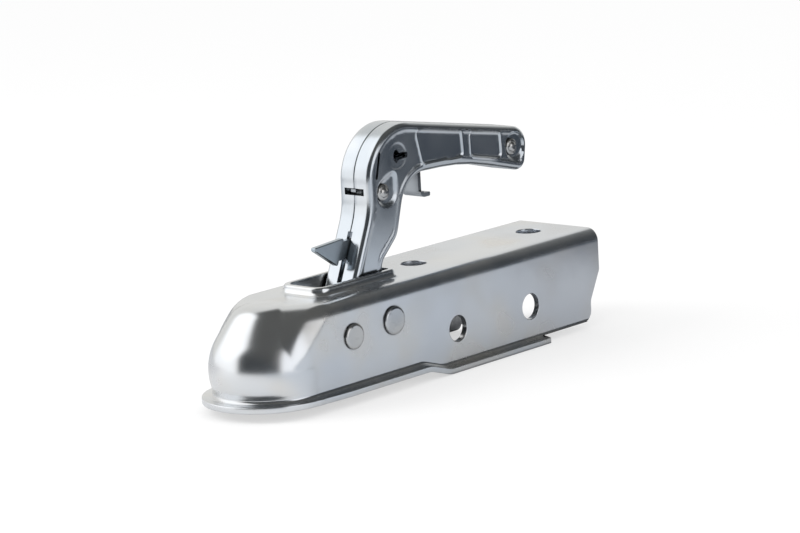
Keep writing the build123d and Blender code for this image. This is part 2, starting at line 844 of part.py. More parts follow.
# Jaw spring: coil round the jaw's right spacer, one leg behind the pin and one under the roof
coil_y = pin_right - spring_wire / 2 - face_gap
with BuildLine() as coil_path:
    Helix(
        pitch=spring_pitch,
        height=spring_turns * spring_pitch,
        radius=spring_r,
        center=(clamp_x, coil_y, clamp_z),
        direction=(0, 1, 0),
        lefthand=True,
    )
coil = coil_path.line.rotate(axis_at(clamp_x, clamp_z), 90)
low_end = Plane(origin=coil @ 0, z_dir=coil % 0)
high_end = Plane(origin=coil @ 1, z_dir=coil % 1)
with BuildPart() as clamp_spring:
    with BuildSketch(low_end):
        Circle(spring_wire / 2)
    sweep(path=coil)
    with BuildSketch(low_end):
        Circle(spring_wire / 2)
    extrude(amount=clamp_pin_z - link_pin_d - clamp_z)
    with BuildSketch(high_end):
        Circle(spring_wire / 2)
    extrude(amount=roof_z - sheet - spring_wire - clamp_z)
clamp_spring.part.label = "clamp_spring"
export_step(clamp_spring.part, "parts/clamp_spring.step")
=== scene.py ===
"""Looks of a trailer coupling head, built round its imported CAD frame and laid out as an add-on."""

from math import cos, pi, radians, sin, sqrt

import bmesh
import bpy
import numpy as np
from mathutils import Matrix, Vector
from mathutils.geometry import delaunay_2d_cdt


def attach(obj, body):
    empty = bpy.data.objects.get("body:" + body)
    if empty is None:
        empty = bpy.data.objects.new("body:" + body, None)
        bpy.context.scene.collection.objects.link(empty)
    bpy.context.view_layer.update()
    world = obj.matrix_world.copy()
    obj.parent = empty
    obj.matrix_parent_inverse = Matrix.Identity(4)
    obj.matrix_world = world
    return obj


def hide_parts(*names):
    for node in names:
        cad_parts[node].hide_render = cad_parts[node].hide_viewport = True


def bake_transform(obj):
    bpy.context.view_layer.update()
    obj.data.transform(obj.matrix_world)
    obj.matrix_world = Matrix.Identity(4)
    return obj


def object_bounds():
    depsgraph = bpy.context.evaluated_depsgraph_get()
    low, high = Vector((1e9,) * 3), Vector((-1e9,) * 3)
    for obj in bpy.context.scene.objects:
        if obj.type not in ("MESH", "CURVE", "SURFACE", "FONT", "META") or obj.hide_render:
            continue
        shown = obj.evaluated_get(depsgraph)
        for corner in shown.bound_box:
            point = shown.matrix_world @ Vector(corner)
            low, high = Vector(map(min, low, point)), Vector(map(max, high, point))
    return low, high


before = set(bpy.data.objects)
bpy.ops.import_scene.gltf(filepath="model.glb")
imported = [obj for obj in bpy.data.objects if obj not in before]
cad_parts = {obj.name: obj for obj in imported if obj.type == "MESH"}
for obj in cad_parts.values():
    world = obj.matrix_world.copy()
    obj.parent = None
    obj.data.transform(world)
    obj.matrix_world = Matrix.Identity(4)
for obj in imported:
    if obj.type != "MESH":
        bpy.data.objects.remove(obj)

bl_info = {
    "name": "Trailer coupling head",
    "version": (1, 0, 0),
    "blender": (4, 5, 0),
    "location": "View3D > Sidebar > Coupling",
    "description": "Pressed housing, lever handle, rivets and springs of a trailer coupling head",
    "category": "Object",
}

CAD_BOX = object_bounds()
MM = 0.001


def length(name, default, description):
    """A length property, held in metres and given in millimetres."""
    return bpy.props.FloatProperty(
        name=name, description=description, default=default * MM, unit="LENGTH", precision=5
    )


def colour(name, default, description):
    """A colour property."""
    return bpy.props.FloatVectorProperty(
        name=name, description=description, default=default, subtype="COLOR", size=3, min=0, max=1
    )


class HousingSizes(bpy.types.PropertyGroup):
    """Sizes of the pressed housing."""

    dome_r: length("Dome radius", 28.5, "Outer radius of the ball dome")
    wall_out: length("Wall", 28.25, "Half width over the walls")
    roof_z: length("Roof", 30.5, "Height of the roof over the ball's centre")
    sheet: length("Sheet", 3.0, "Thickness of the sheet")
    bend_r: length("Bend", 6.5, "Radius of the bends along the roof")
    valley_r: length("Valley", 6.0, "Radius of the valleys between dome and shoulders")
    pad_r: length("Pad", 13.0, "Radius of the pad on the dome's crown")
    pad_foot_r: length("Pad foot", 18.5, "Radius of the pad where it leaves the dome")
    flange_w: length("Flange", 5.75, "Width of the flange along the walls")
    nose_flange_w: length("Nose flange", 4.0, "Width of the flange round the dome")
    flange_bend_r: length("Flange root", 2.0, "Radius of the bend between wall and flange")
    flange_front_z: length("Front flange", -15.0, "Lower face of the flange at the nose")
    flange_rear_z: length("Rear flange", -19.5, "Lower face of the flange along the drawbar")
    lip_z: length("Lip", -15.8, "Lower edge of the walls behind the flange")
    hole_d: length("Bolt hole", 13.0, "Diameter of the bolt holes")
    collar_h: length("Collar", 4.0, "Height of the collar round the handle slot")


class HandleSizes(bpy.types.PropertyGroup):
    """Sizes of the pressed handle halves."""

    half: length("Half width", 10.0, "Half width of the handle")
    shell: length("Shell", 2.0, "Thickness of the half shells")
    rim_r: length("Rim", 2.6, "Radius of the rolled rim")
    seam_r: length("Seam", 0.45, "Rounding of the edges that meet in the seam")
    panel_depth: length("Panel depth", 0.3, "Depth of the pressed panels")
    dimple_depth: length("Dimple depth", 1.25, "Depth of the dimples round the rivets")


class RivetSizes(bpy.types.PropertyGroup):
    """Sizes of the rivets."""

    clamp_head: length("Clamp rivet head", 12.5, "Head diameter of the jaw's rivet")
    pivot_head: length("Pivot rivet head", 14.0, "Head diameter of the handle's rivet")
    head_h: length("Head height", 1.6, "Height of the large heads")
    button_head: length("Button head", 8.4, "Head diameter of the handle's small rivets")
    button_h: length("Button height", 2.25, "Height of the small heads")


class CouplingColours(bpy.types.PropertyGroup):
    """Colours of the finishes."""

    zinc: colour("Zinc", (0.71, 0.73, 0.75), "Bright zinc plate of the housing")
    zinc_warm: colour("Warm zinc", (0.74, 0.71, 0.66), "Yellowish tint of the passivated zinc")
    zinc_cool: colour("Cool zinc", (0.62, 0.66, 0.72), "Bluish tint of the passivated zinc")
    handle: colour("Handle", (0.56, 0.60, 0.64), "Zinc plate of the handle")
    rivet: colour("Rivet", (0.42, 0.43, 0.44), "Peened rivets")
    flag: colour("Flag", (0.42, 0.48, 0.53), "Flag of the indicator")
    # The trigger's colour is darkened well below zinc as painted shade from the grip above it
    trigger: colour("Trigger", (0.16, 0.17, 0.18), "Trigger under the grip")
    cast: colour("Cast jaw", (0.38, 0.38, 0.37), "Cast jaw under the ball")
    wire: colour("Spring wire", (0.30, 0.30, 0.31), "Drawn spring wire")
    floor: colour("Floor", (0.97, 0.97, 0.97), "Floor of the stage")


# Mesh helpers

WELD = 2e-6
LEAST_FACES = 50
# A step longer than any run, so that only the arcs are sampled
ARCS_ONLY = 200.0


def put(name, data):
    """New object in the scene for a mesh, a lamp or a camera."""
    held = bpy.data.objects.new(name, data)
    bpy.context.scene.collection.objects.link(held)
    return held


def mend(mesh, weld=None, turn=True):
    """Welds a mesh's doubled points within a distance and turns its faces outwards."""
    work = bmesh.new()
    work.from_mesh(mesh)
    if weld:
        bmesh.ops.remove_doubles(work, verts=work.verts, dist=weld)
    if turn:
        bmesh.ops.recalc_face_normals(work, faces=work.faces)
    work.to_mesh(mesh)
    work.free()


def mesh_piece(name, verts, faces, weld=WELD):
    """Object from points in millimetres, with doubled points welded and faces turned outwards."""
    mesh = bpy.data.meshes.new(name)
    mesh.from_pydata([tuple(v) for v in np.asarray(verts, float) * MM], [], [tuple(f) for f in faces])
    mend(mesh, weld)
    return put(name, mesh)


def drop(piece):
    """Removes a helper object and its mesh."""
    mesh = piece.data
    bpy.data.objects.remove(piece)
    bpy.data.meshes.remove(mesh)


def bake(piece):
    """Takes the evaluated mesh of a piece as its own mesh and removes the modifiers."""
    graph = bpy.context.evaluated_depsgraph_get()
    made = bpy.data.meshes.new_from_object(piece.evaluated_get(graph), depsgraph=graph)
    old = piece.data
    piece.modifiers.clear()
    piece.data = made
    made.name = piece.name
    bpy.data.meshes.remove(old)


def carve(piece, tool, operation):
    """Boolean of a piece with a tool body, which is used up."""
    step = piece.modifiers.new("carve", "BOOLEAN")
    step.operation = operation
    step.solver = "EXACT"
    step.object = tool
    bake(piece)
    drop(tool)
    if len(piece.data.polygons) < LEAST_FACES:
        raise RuntimeError(f"{piece.name}: the {operation.lower()} left nothing")


def smooth(piece, angle):
    """Smooth shading with sharp edges over an angle in degrees."""
    piece.data.polygons.foreach_set("use_smooth", np.ones(len(piece.data.polygons), bool))
    piece.data.set_sharp_from_angle(angle=radians(angle))


def hand_over(piece, body, slot, nodes):
    """Gives a finished piece its material, its body and the CAD nodes that it stands for."""
    piece.data.materials.clear()
    piece.data.materials.append(finishes()[slot])
    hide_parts(*nodes)
    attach(piece, body)


def strip(a, b):
    """Quads between two closed rings of point numbers."""
    count = len(a)
    return [(a[i], a[(i + 1) % count], b[(i + 1) % count], b[i]) for i in range(count)]


def sides(rings, count):
    """Point numbers of rings in a row, and the quads between them."""
    loops = np.arange(rings * count).reshape(-1, count).tolist()
    return loops, [quad for a, b in zip(loops, loops[1:]) for quad in strip(a, b)]


def joined_loops(name, rings):
    """Closed body lofted through rings of equally many points, with flat ends."""
    verts = np.concatenate([np.asarray(ring, float) for ring in rings])
    loops, faces = sides(len(rings), len(rings[0]))
    faces += [loops[0][::-1], loops[-1]]
    return mesh_piece(name, verts, faces)


def merged(name, tools):
    """One object from several tool bodies."""
    work = bmesh.new()
    for tool in tools:
        work.from_mesh(tool.data)
        drop(tool)
    mesh = bpy.data.meshes.new(name)
    work.to_mesh(mesh)
    work.free()
    return put(name, mesh)


def rounded_path(corners, radii, step=1.2, bow=9.0):
    """Closed outline through corners with their radii, sampled along its runs and arcs."""
    corners = np.asarray(corners, float)
    arcs = []
    for corner, before, after, radius in zip(corners, np.roll(corners, 1, 0), np.roll(corners, -1, 0), radii):
        before, after = before - corner, after - corner
        before /= np.linalg.norm(before)
        after /= np.linalg.norm(after)
        half = np.arccos(np.clip(before @ after, -1, 1)) / 2
        radius = max(radius, 1e-3)
        middle = corner + (before + after) / np.linalg.norm(before + after) * radius / np.sin(half)
        start = corner + before * (radius / np.tan(half)) - middle
        sweep = pi - 2 * half
        turn = -np.sign(before[0] * after[1] - before[1] * after[0])
        parts = max(2, int(np.ceil(np.degrees(sweep) / bow)))
        x, y = start
        bows = np.linspace(0, sweep, parts + 1) * turn
        arcs.append([middle + (x * cos(a) - y * sin(a), x * sin(a) + y * cos(a)) for a in bows])
    points = []
    for arc, after in zip(arcs, arcs[1:] + arcs[:1]):
        points.extend(arc)
        run = after[0] - arc[-1]
        parts = int(np.linalg.norm(run) // step)
        points.extend(arc[-1] + run * share for share in np.arange(1, parts) / max(parts, 1))
    return np.array([p for k, p in enumerate(points) if np.linalg.norm(p - points[k - 1]) > 1e-4])


def outward(loop):
    """Unit normals of a closed outline, pointing out of it."""
    onward = np.roll(loop, -1, 0) - np.roll(loop, 1, 0)
    onward /= np.linalg.norm(onward, axis=1)[:, None]
    area = np.sum(loop[:, 0] * np.roll(loop[:, 1], -1) - loop[:, 1] * np.roll(loop[:, 0], -1))
    return np.stack([onward[:, 1], -onward[:, 0]], 1) * np.sign(area)


def outline_distance(points, loop):
    """Signed distance of points from a closed outline, negative inside."""
    nearest = np.full(len(points), 1e9)
    inside = np.zeros(len(points), bool)
    for a, b in zip(loop, np.roll(loop, -1, 0)):
        edge = b - a
        share = np.clip(((points - a) @ edge) / (edge @ edge), 0, 1)
        nearest = np.minimum(nearest, np.hypot(*(points - a - share[:, None] * edge).T))
        crosses = (a[1] > points[:, 1]) != (b[1] > points[:, 1])
        rise = np.where(abs(edge[1]) < 1e-12, 1e-12, edge[1])
        inside ^= crosses & (points[:, 0] < (points[:, 1] - a[1]) * edge[0] / rise + a[0])
    return np.where(inside, -nearest, nearest)


def ease(value, low, high):
    """Soft step from 0 at low to 1 at high."""
    share = np.clip((value - low) / (high - low), 0, 1)
    return share * share * (3 - 2 * share)


def round_in(a, b, r):
    """Intersection of two fields with a rounded edge."""
    return np.minimum(-r, np.maximum(a, b)) + np.hypot(np.maximum(a + r, 0), np.maximum(b + r, 0))


def round_out(a, b, r):
    """Union of two fields with a rounded valley."""
    return np.maximum(r, np.minimum(a, b)) - np.hypot(np.maximum(r - a, 0), np.maximum(r - b, 0))


# Places that several pieces share, in millimetres along X and Z

CLAMP_AXIS = (30.5, 12.0)
PIVOT_AXIS = (59.6, 14.0)
LINK_AXIS = (59.6, 0.5)
ELBOW = (78.2, 71.9)
GRIP_END = (176.7, 78.7)
KEYHOLE = (89.0, 88.0)

# Pressed housing

FLARE_X = 20.0
KINK_X = (79.0, 93.5)
FLANGE_END_X = 171.0
TAPER_X, REAR_LOW_X, REAR_X = 200.0, 211.5, 219.5
REAR_SLOPE_Z = (-6.0, 9.0)
REAR_CORNER_Z, REAR_CORNER_R = -10.8, 5.0
TOP_HOLES_X = (108.0, 198.0)
SIDE_HOLES = ((106.7, 0.5), (163.2, 0.5))
CLAMP_HOLE_R, PIVOT_HOLE_R = 5.02, 4.02
HOLE_EDGE_R, HOLE_SIDES = 0.4, 64
SLOT_FRONT_X, SLOT_REAR_X, SLOT_HALF = 27.5, 77.5, 10.7
SLOT_FRONT_R, SLOT_REAR_R = 4.0, 1.2
# How far the cutting tools reach below and above the sheet
BELOW, ABOVE = 8, 3


def housing_field(s):
    """Distance field of the drawn form in millimetres: dome with its pad, channel with slanted shoulders."""
    dome_r, wall, roof = s.dome_r / MM, s.wall_out / MM, s.roof_z / MM
    pad_r, foot_r, bend, valley = s.pad_r / MM, s.pad_foot_r / MM, s.bend_r / MM, s.valley_r / MM
    foot_z = sqrt(dome_r**2 - foot_r**2)
    slope = np.array([roof - foot_z, foot_r - pad_r])
    slope /= np.linalg.norm(slope)
    lean = np.arctan2(roof, pad_r) - np.arccos(dome_r / np.hypot(roof, pad_r))
    spread = radians(47.0)
    stem_out, stem_r = 3.5, 6.0
    pad_up, pad_edge_r, pad_valley_r = 0.08, 4.0, 5.0
    nose_tuck, tuck_loss, tuck_from, tuck_to = 1.4, 1.2, radians(35), radians(80)
    shoulder_r = 0.85 * bend
    valley_low, valley_high, probe = -2, 8, 0.02

    def dome(p):
        x, y, z = p.T
        rho = np.hypot(x, y)
        ball = np.where(z > 0, np.sqrt(rho**2 + z**2), rho) - dome_r
        side = (rho - foot_r) * slope[0] + (z - foot_z) * slope[1]
        stem = round_in(side, rho - foot_r - stem_out, stem_r)
        return round_out(ball, round_in(stem, z - roof - pad_up, pad_edge_r), pad_valley_r)

    def channel(p):
        x, y, z = p[:, 0], abs(p[:, 1]), p[:, 2]
        rho = np.hypot(x, y)
        turned = np.arctan2(y, -x)
        wall_roof = round_in(np.where(x < 0, rho, y) - wall, z - roof, bend)
        reach = np.where(turned < spread, rho, y * sin(spread) - x * cos(spread))
        tuck = nose_tuck - tuck_loss * ease(turned, tuck_from, tuck_to)
        shoulder = reach * cos(lean) + z * sin(lean) - dome_r + tuck
        return round_in(wall_roof, shoulder, shoulder_r)

    def field(p):
        near, far = dome(p), channel(p)
        like = 0.0
        for axis in np.eye(3) * probe:
            like = like + (dome(p + axis) - near) / probe * ((channel(p + axis) - far) / probe)
        half = np.sqrt(np.clip((1 + like) / 2, 0.2, 1))
        soft = valley * (1 / half - 1) / (sqrt(2) - 1) * ease(p[:, 2], valley_low, valley_high)
        return round_out(near, far, soft)

    return field


def along_rays(field, start, way, level):
    """Distances along rays at which the field reaches a level, found by halving."""
    longest, halvings = 60.0, 34
    low, high = np.zeros(len(start)), np.full(len(start), longest)
    for _ in range(halvings):
        middle = (low + high) / 2
        outside = field(start + way * middle[:, None]) > level
        high = np.where(outside, middle, high)
        low = np.where(outside, low, middle)
    return (low + high) / 2


def flange_line(x, s):
    """Height of the flange's lower face along the housing, with its step down to the drawbar."""
    heights = s.flange_front_z / MM, s.flange_rear_z / MM
    return np.mean([np.interp(x + shift, KINK_X, heights) for shift in np.linspace(-2.2, 2.2, 9)])


def flange_width(x, spin, s):
    """Width of the flange: narrow round the dome, then flaring out to its width along the walls."""
    nose = (s.dome_r + s.nose_flange_w) / MM
    side = (s.wall_out + s.flange_w) / MM
    reach = sqrt(FLARE_X**2 + side**2)
    leave = np.arctan2(side, FLARE_X) + np.arccos(nose / reach)
    slope = -cos(leave) / sin(leave)
    if spin is None:
        return min(side, side - slope * (FLARE_X - x)) - s.wall_out / MM
    away = pi - radians(abs(spin + 180))
    if away > leave:
        return s.nose_flange_w / MM
    return (side - slope * FLARE_X) / (sin(away) - slope * cos(away)) - s.dome_r / MM


def rear_edge(z):
    """Place of the rear edge at a height: upright, a slope, then the rounded lower corner."""
    edge = np.interp(z, REAR_SLOPE_Z, [REAR_LOW_X, REAR_X])
    under = np.clip(REAR_CORNER_Z - z, 0, REAR_CORNER_R)
    corner = REAR_LOW_X - REAR_CORNER_R + np.sqrt(REAR_CORNER_R**2 - under**2)
    return np.where(z < REAR_CORNER_Z, corner, edge)


def housing_shell(name, s):
    """Closed pressed sheet in columns from the crown down outside, round the flange and up inside."""
    field = housing_field(s)
    sheet, lip = s.sheet / MM, s.lip_z / MM
    fillet_r, edge_r, lip_out, wall_rows = s.flange_bend_r / MM, 0.4, 1.4, 8
    arc, edge_arc = np.linspace(0, pi / 2, 9), np.linspace(0, pi / 2, 4)
    # Angles of the rays, then places along the walls: first, last and number
    runs = (90, 60, 13), (59, 38, 22), (36.4, 0, 21)
    lifts = [radians(a) for run in runs for a in np.linspace(*run)]
    runs = (0, 44, 56), (48, 74, 5), (75, 98, 24), (106, FLANGE_END_X, 5), (FLANGE_END_X, FLANGE_END_X, 1)
    stations = [x for run in (*runs, (174, TAPER_X, 4), (203, REAR_X, 6)) for x in np.linspace(*run)]
    places = [(x, (0.0, -1.0), None) for x in stations[::-1]]
    for spin in np.linspace(-90, -270, 73)[1:-1]:
        places.append((0.0, (cos(radians(spin)), sin(radians(spin))), spin))
    places += [(x, (0.0, 1.0), None) for x in stations]
    starts = np.array([(x, 0.0, 0.0) for x, _, _ in places for _ in lifts])
    ways = np.array([(a * cos(up), b * cos(up), sin(up)) for _, (a, b), _ in places for up in lifts])
    outer = along_rays(field, starts, ways, 0.0)
    inner = along_rays(field, starts, ways, -sheet)
    columns = []
    seen_end = 0
    for number, (x, flat, spin) in enumerate(places):
        part = slice(number * len(lifts), (number + 1) * len(lifts))
        skin = starts[part] + ways[part] * outer[part][:, None]
        under = starts[part] + ways[part] * inner[part][:, None]
        reach = outer[part][-1]
        bottom = flange_line(x, s)
        top = bottom + sheet
        rim = flange_width(x, spin, s) - edge_r
        behind = x > FLANGE_END_X
        # The flange ends in a step of two columns on each side
        if x == FLANGE_END_X:
            seen_end += 1
            behind = seen_end in (1, 4)
        hook = 0.0 if spin is None else float(ease(90 - abs(spin + 180), 5.0, 50.0))
        heights = np.linspace(0, top + fillet_r, wall_rows + 1)[1:]
        rows = [(-hook * (reach - sqrt(reach**2 - z**2)), z) for z in heights]
        root = rows[-1][0]
        rows += [(root + fillet_r * (1 - cos(a)), top + fillet_r * (1 - sin(a))) for a in arc[1:]]
        rows += [(rim + edge_r * sin(a), top - edge_r + edge_r * cos(a)) for a in edge_arc]
        rows += [(rim + edge_r * cos(a), bottom + edge_r - edge_r * sin(a)) for a in edge_arc]
        bow = fillet_r + sheet
        rows += [(fillet_r - bow * sin(a), bottom + bow * (1 - cos(a))) for a in arc[:-1]]
        rows += [(-sheet, z) for z in np.linspace(bottom + bow, 0, wall_rows + 1)[:-1]]
        if behind:
            rows = [(min(d, lip_out), lip) if z < lip else (d, z) for d, z in rows]
        belt = [(x + flat[0] * (reach + d), flat[1] * (reach + d), z) for d, z in rows]
        column = np.concatenate([skin, belt, under[::-1]])
        if spin is None and x > TAPER_X:
            share = (x - TAPER_X) / (REAR_X - TAPER_X)
            column[:, 0] = TAPER_X + (rear_edge(column[:, 2]) - TAPER_X) * share
        columns.append(column)
    high = len(columns[0])
    last = (len(columns) - 1) * high
    faces = []
    for base in range(0, last, high):
        faces += [(k, k + 1, k + high + 1, k + high) for k in range(base, base + high - 1)]
    for base in (0, last):
        ends = 2 * base + high - 1
        faces += [(k, k + 1, ends - k - 1, ends - k) for k in range(base, base + high // 2 - 1)]
    return mesh_piece(name, np.concatenate(columns), faces, weld=2 * WELD)


def slot_body(name, rows):
    """Loft through plans of the handle slot: each row holds an offset and a height."""
    rings = []
    for grow, z in rows:
        half, front, rear = SLOT_HALF + grow, SLOT_FRONT_X - grow, SLOT_REAR_X + grow
        front_r, rear_r = max(SLOT_FRONT_R + grow, 0.5), max(SLOT_REAR_R + grow, 0.4)
        corners = [(front, -half), (rear, -half), (rear, half), (front, half)]
        plan = rounded_path(corners, [front_r, rear_r, rear_r, front_r], ARCS_ONLY, bow=6.0)
        rings.append([(x, y, z) for x, y in plan])
    return joined_loops(name, rings)


def drilled(place, radius, face, upright=False, side=1):
    """Tool for a round hole with a rounded edge in the roof or in a wall."""
    x, z = place
    rows = [(radius, face - BELOW), (radius, face - HOLE_EDGE_R)]
    for a in (0.4, 0.8, 1.2, 1.5):
        rows.append((radius + HOLE_EDGE_R * (1 - cos(a)), face - HOLE_EDGE_R + HOLE_EDGE_R * sin(a)))
    rows.append((radius + HOLE_EDGE_R, face + ABOVE))
    turn = np.linspace(0, 2 * pi, HOLE_SIDES, endpoint=False)
    rings = []
    for r, level in rows:
        if upright:
            rings.append([(x + r * cos(t), r * sin(t), level) for t in turn])
        else:
            rings.append([(x + r * cos(t), side * level, z + r * sin(t)) for t in turn])
    return joined_loops("hole", rings)


class COUPLING_OT_housing(bpy.types.Operator):
    """Pressed housing with its flange, collar, slot and bolt holes"""

    bl_idname = "coupling.housing"
    bl_label = "Housing"

    def execute(self, context):
        s = context.scene.coupling_housing
        piece = housing_shell("pressed_housing", s)
        roof, wall, bolt_r = s.roof_z / MM, s.wall_out / MM, s.hole_d / MM / 2
        top = roof + s.collar_h / MM
        foot_r, lip_r, thick, slot_r, sunk, skirt = 3.0, 1.0, 3.0, 0.7, 1.2, 0.04
        hill = [(thick + foot_r, roof - sunk), (thick + foot_r, roof - skirt)]
        for a in np.linspace(0.2, pi / 2, 8):
            hill.append((thick + foot_r * (1 - sin(a)), roof + foot_r * (1 - cos(a))))
        for a in np.linspace(0, pi / 2, 6):
            hill.append((thick - lip_r + lip_r * cos(a), top - lip_r + lip_r * sin(a)))
        carve(piece, slot_body("collar", hill), "UNION")
        mouth = [(0.0, roof - BELOW)]
        for a in np.linspace(0, pi / 2, 5):
            mouth.append((slot_r * (1 - cos(a)), top - slot_r + slot_r * sin(a)))
        mouth.append((slot_r, top + ABOVE))
        carve(piece, slot_body("slot", mouth), "DIFFERENCE")
        tools = [drilled((x, 0.0), bolt_r, roof, upright=True) for x in TOP_HOLES_X]
        cross = [(place, bolt_r) for place in SIDE_HOLES]
        cross += [(CLAMP_AXIS, CLAMP_HOLE_R), (PIVOT_AXIS, PIVOT_HOLE_R)]
        tools += [drilled(place, radius, wall, side=side) for place, radius in cross for side in (-1, 1)]
        carve(piece, merged("holes", tools), "DIFFERENCE")
        smooth(piece, angle=32)
        hand_over(piece, "housing", "zinc_housing", ["housing"])
        return {"FINISHED"}


# Handle halves

HANDLE_CORNERS = [
    (50.7, 26.0), (67.5, 64.0), (68.0, 108.69), (190.0, 86.8), (186.5, 64.5), (140.0, 76.5), (95.7, 77.5),
    (87.5, 49.0), (76.0, 38.5), (73.5, 30.0), (71.4, 12.0), (66.6, -5.5), (52.6, -5.5), (47.8, 12.0),
]
HANDLE_RADII = [4, 30, 27, 10, 6, 150, 18, 12, 6, 3, 9, 6, 6, 9]
PANELS = [
    [(103.2, 99.6), (138.2, 93.3), (139.2, 79.3), (108.2, 80.2)],
    [(144.2, 92.2), (168.0, 88.0), (168.6, 73.6), (144.5, 78.6)],
]
PANEL_CORNERS = [3] * 4
PIN_SIDES, SLEEVE_SIDES, DROP_SIDES, GUIDE_SIDES = 32, 40, 48, 72
PANEL_LINES = (-1.1, -0.7, -0.35, 0.0, 0.35, 0.7)
KEY_RING, KEY_RING_R = (KEYHOLE[0] + 0.6, KEYHOLE[1]), 6.4
KEY_RING_LINES = (-0.8, -0.3, 0.3, 0.8)
ELBOW_DIMPLE = ((80.8, 71.5), 7.3), ((85.2, 77.9), 3.0)
TIP_DIMPLE, TIP_DIMPLE_R = (179.3, 78.9), 7.6
DIMPLE_LINES = (-2.4, -1.6, -0.8, 0.0, 0.5, 0.9)
PIN_HOLE_R, SLEEVE_HOLE_R = 3.02, 7.05
SEAM_GAP = 0.02


def ring_points(centre, radius, count, stretch=1.0):
    """Points on a circle or an upright ellipse."""
    turn = np.linspace(0, 2 * pi, count, endpoint=False)
    return np.stack([centre[0] + radius * np.cos(turn), centre[1] + radius * stretch * np.sin(turn)], 1)


def from_centre(points, centre):
    """Distances of points from a centre."""
    return np.hypot(points[:, 0] - centre[0], points[:, 1] - centre[1])


def teardrop(*circles):
    """Outline round two circles."""
    work = bmesh.new()
    for x, z in np.concatenate([ring_points(centre, radius, DROP_SIDES) for centre, radius in circles]):
        work.verts.new((x, z, 0))
    hull = bmesh.ops.convex_hull(work, input=work.verts)
    kept = np.array([v.co[:2] for v in hull["geom"] if isinstance(v, bmesh.types.BMVert)])
    work.free()
    middle = kept.mean(0)
    return kept[np.argsort(np.arctan2(kept[:, 1] - middle[1], kept[:, 0] - middle[0]))]


def keyhole_outline():
    """Keyhole: an upright oval with a tab to the rear."""
    x, z = KEYHOLE
    wide, tall, low, high = 2.1, 3.2, -1.9, 1.3
    oval = ring_points(KEYHOLE, wide, 40, tall / wide)
    oval = [p for p in oval if not (p[0] > x and low < p[1] - z < high)]
    oval.sort(key=lambda p: (np.arctan2(p[1] - z, p[0] - x) - 0.3) % (2 * pi))
    tab = [(2.4, low), (7.0, low), (8.0, low + 0.7), (8.0, high - 0.7), (7.0, high), (2.4, high)]
    return np.array(oval + [(x + a, z + b) for a, b in tab])


def shank_slot_outline():
    """Long slot beside the front edge."""
    middle, lean, reach, end_r = np.array([75.1, 85.5]), radians(77), 6, 0.8
    way = np.array([cos(lean), sin(lean)])
    aside = np.array([-way[1], way[0]])
    points = []
    for end, base in ((1, -90), (-1, 90)):
        for a in np.radians(np.linspace(base, base + 180, 9)):
            points.append(middle + way * (reach * end + end_r * cos(a)) + aside * end_r * sin(a))
    return np.array(points)


def pressed_depth(points, outline, s):
    """How far the side of the handle is pressed in at each point."""
    panel, field_depth, ring_share, bead_h, bead_w = s.panel_depth / MM, 0.35, 0.55, 0.32, 0.5
    depth = field_depth * ease(-outline_distance(points, outline), 3.3, 4.7)
    for corners in PANELS:
        edge = outline_distance(points, rounded_path(corners, PANEL_CORNERS, ARCS_ONLY))
        depth = depth + panel * ease(edge, -0.3, -1.1) - bead_h * np.exp(-((edge / bead_w) ** 2))
    depth = depth + ring_share * panel * ease(from_centre(points, KEY_RING) - KEY_RING_R, 0.8, -0.8)
    elbow = outline_distance(points, teardrop(*ELBOW_DIMPLE))
    tip = from_centre(points, TIP_DIMPLE) - TIP_DIMPLE_R
    dish = np.maximum(ease(elbow, 0.6, -2.0), ease(tip, 0.6, -2.0))
    return depth * (1 - dish) + s.dimple_depth / MM * dish


def fine_lines():
    """Lines of points along the pressed edges, so that the mesh follows them."""
    lines = []
    for corners in PANELS:
        edge = rounded_path(corners, PANEL_CORNERS, step=0.8, bow=12.0)
        lines += [edge + outward(edge) * shift for shift in PANEL_LINES]
    lines += [ring_points(KEY_RING, KEY_RING_R + shift, GUIDE_SIDES) for shift in KEY_RING_LINES]
    edge = teardrop(*ELBOW_DIMPLE)
    lines += [edge + outward(edge) * shift for shift in DIMPLE_LINES]
    lines += [ring_points(TIP_DIMPLE, TIP_DIMPLE_R + shift, GUIDE_SIDES) for shift in DIMPLE_LINES]
    return lines


def meshed_face(rim, holes, inner_points):
    """Triangles of a flat face inside a rim and outside its holes: points, faces and the loops' numbers."""
    spans, edges = [], []
    for loop in [rim] + holes:
        base = spans[-1][-1] + 1 if spans else 0
        spans.append(range(base, base + len(loop)))
        edges += [(k, base + (k + 1 - base) % len(loop)) for k in spans[-1]]
    points = [Vector(tuple(p)) for p in np.concatenate([rim, *holes, inner_points])]
    flat, _, faces, origins, _, _ = delaunay_2d_cdt(points, edges, [], 0, 1e-5)
    flat = np.array([tuple(v) for v in flat])
    middles = np.array([flat[list(f)].mean(0) for f in faces])
    keep = outline_distance(middles, rim) < 0
    for hole in holes:
        keep &= outline_distance(middles, hole) > 0
    back = {origin: now for now, group in enumerate(origins) for origin in group}
    return flat, [f for f, k in zip(faces, keep) if k], [[back[k] for k in span] for span in spans]


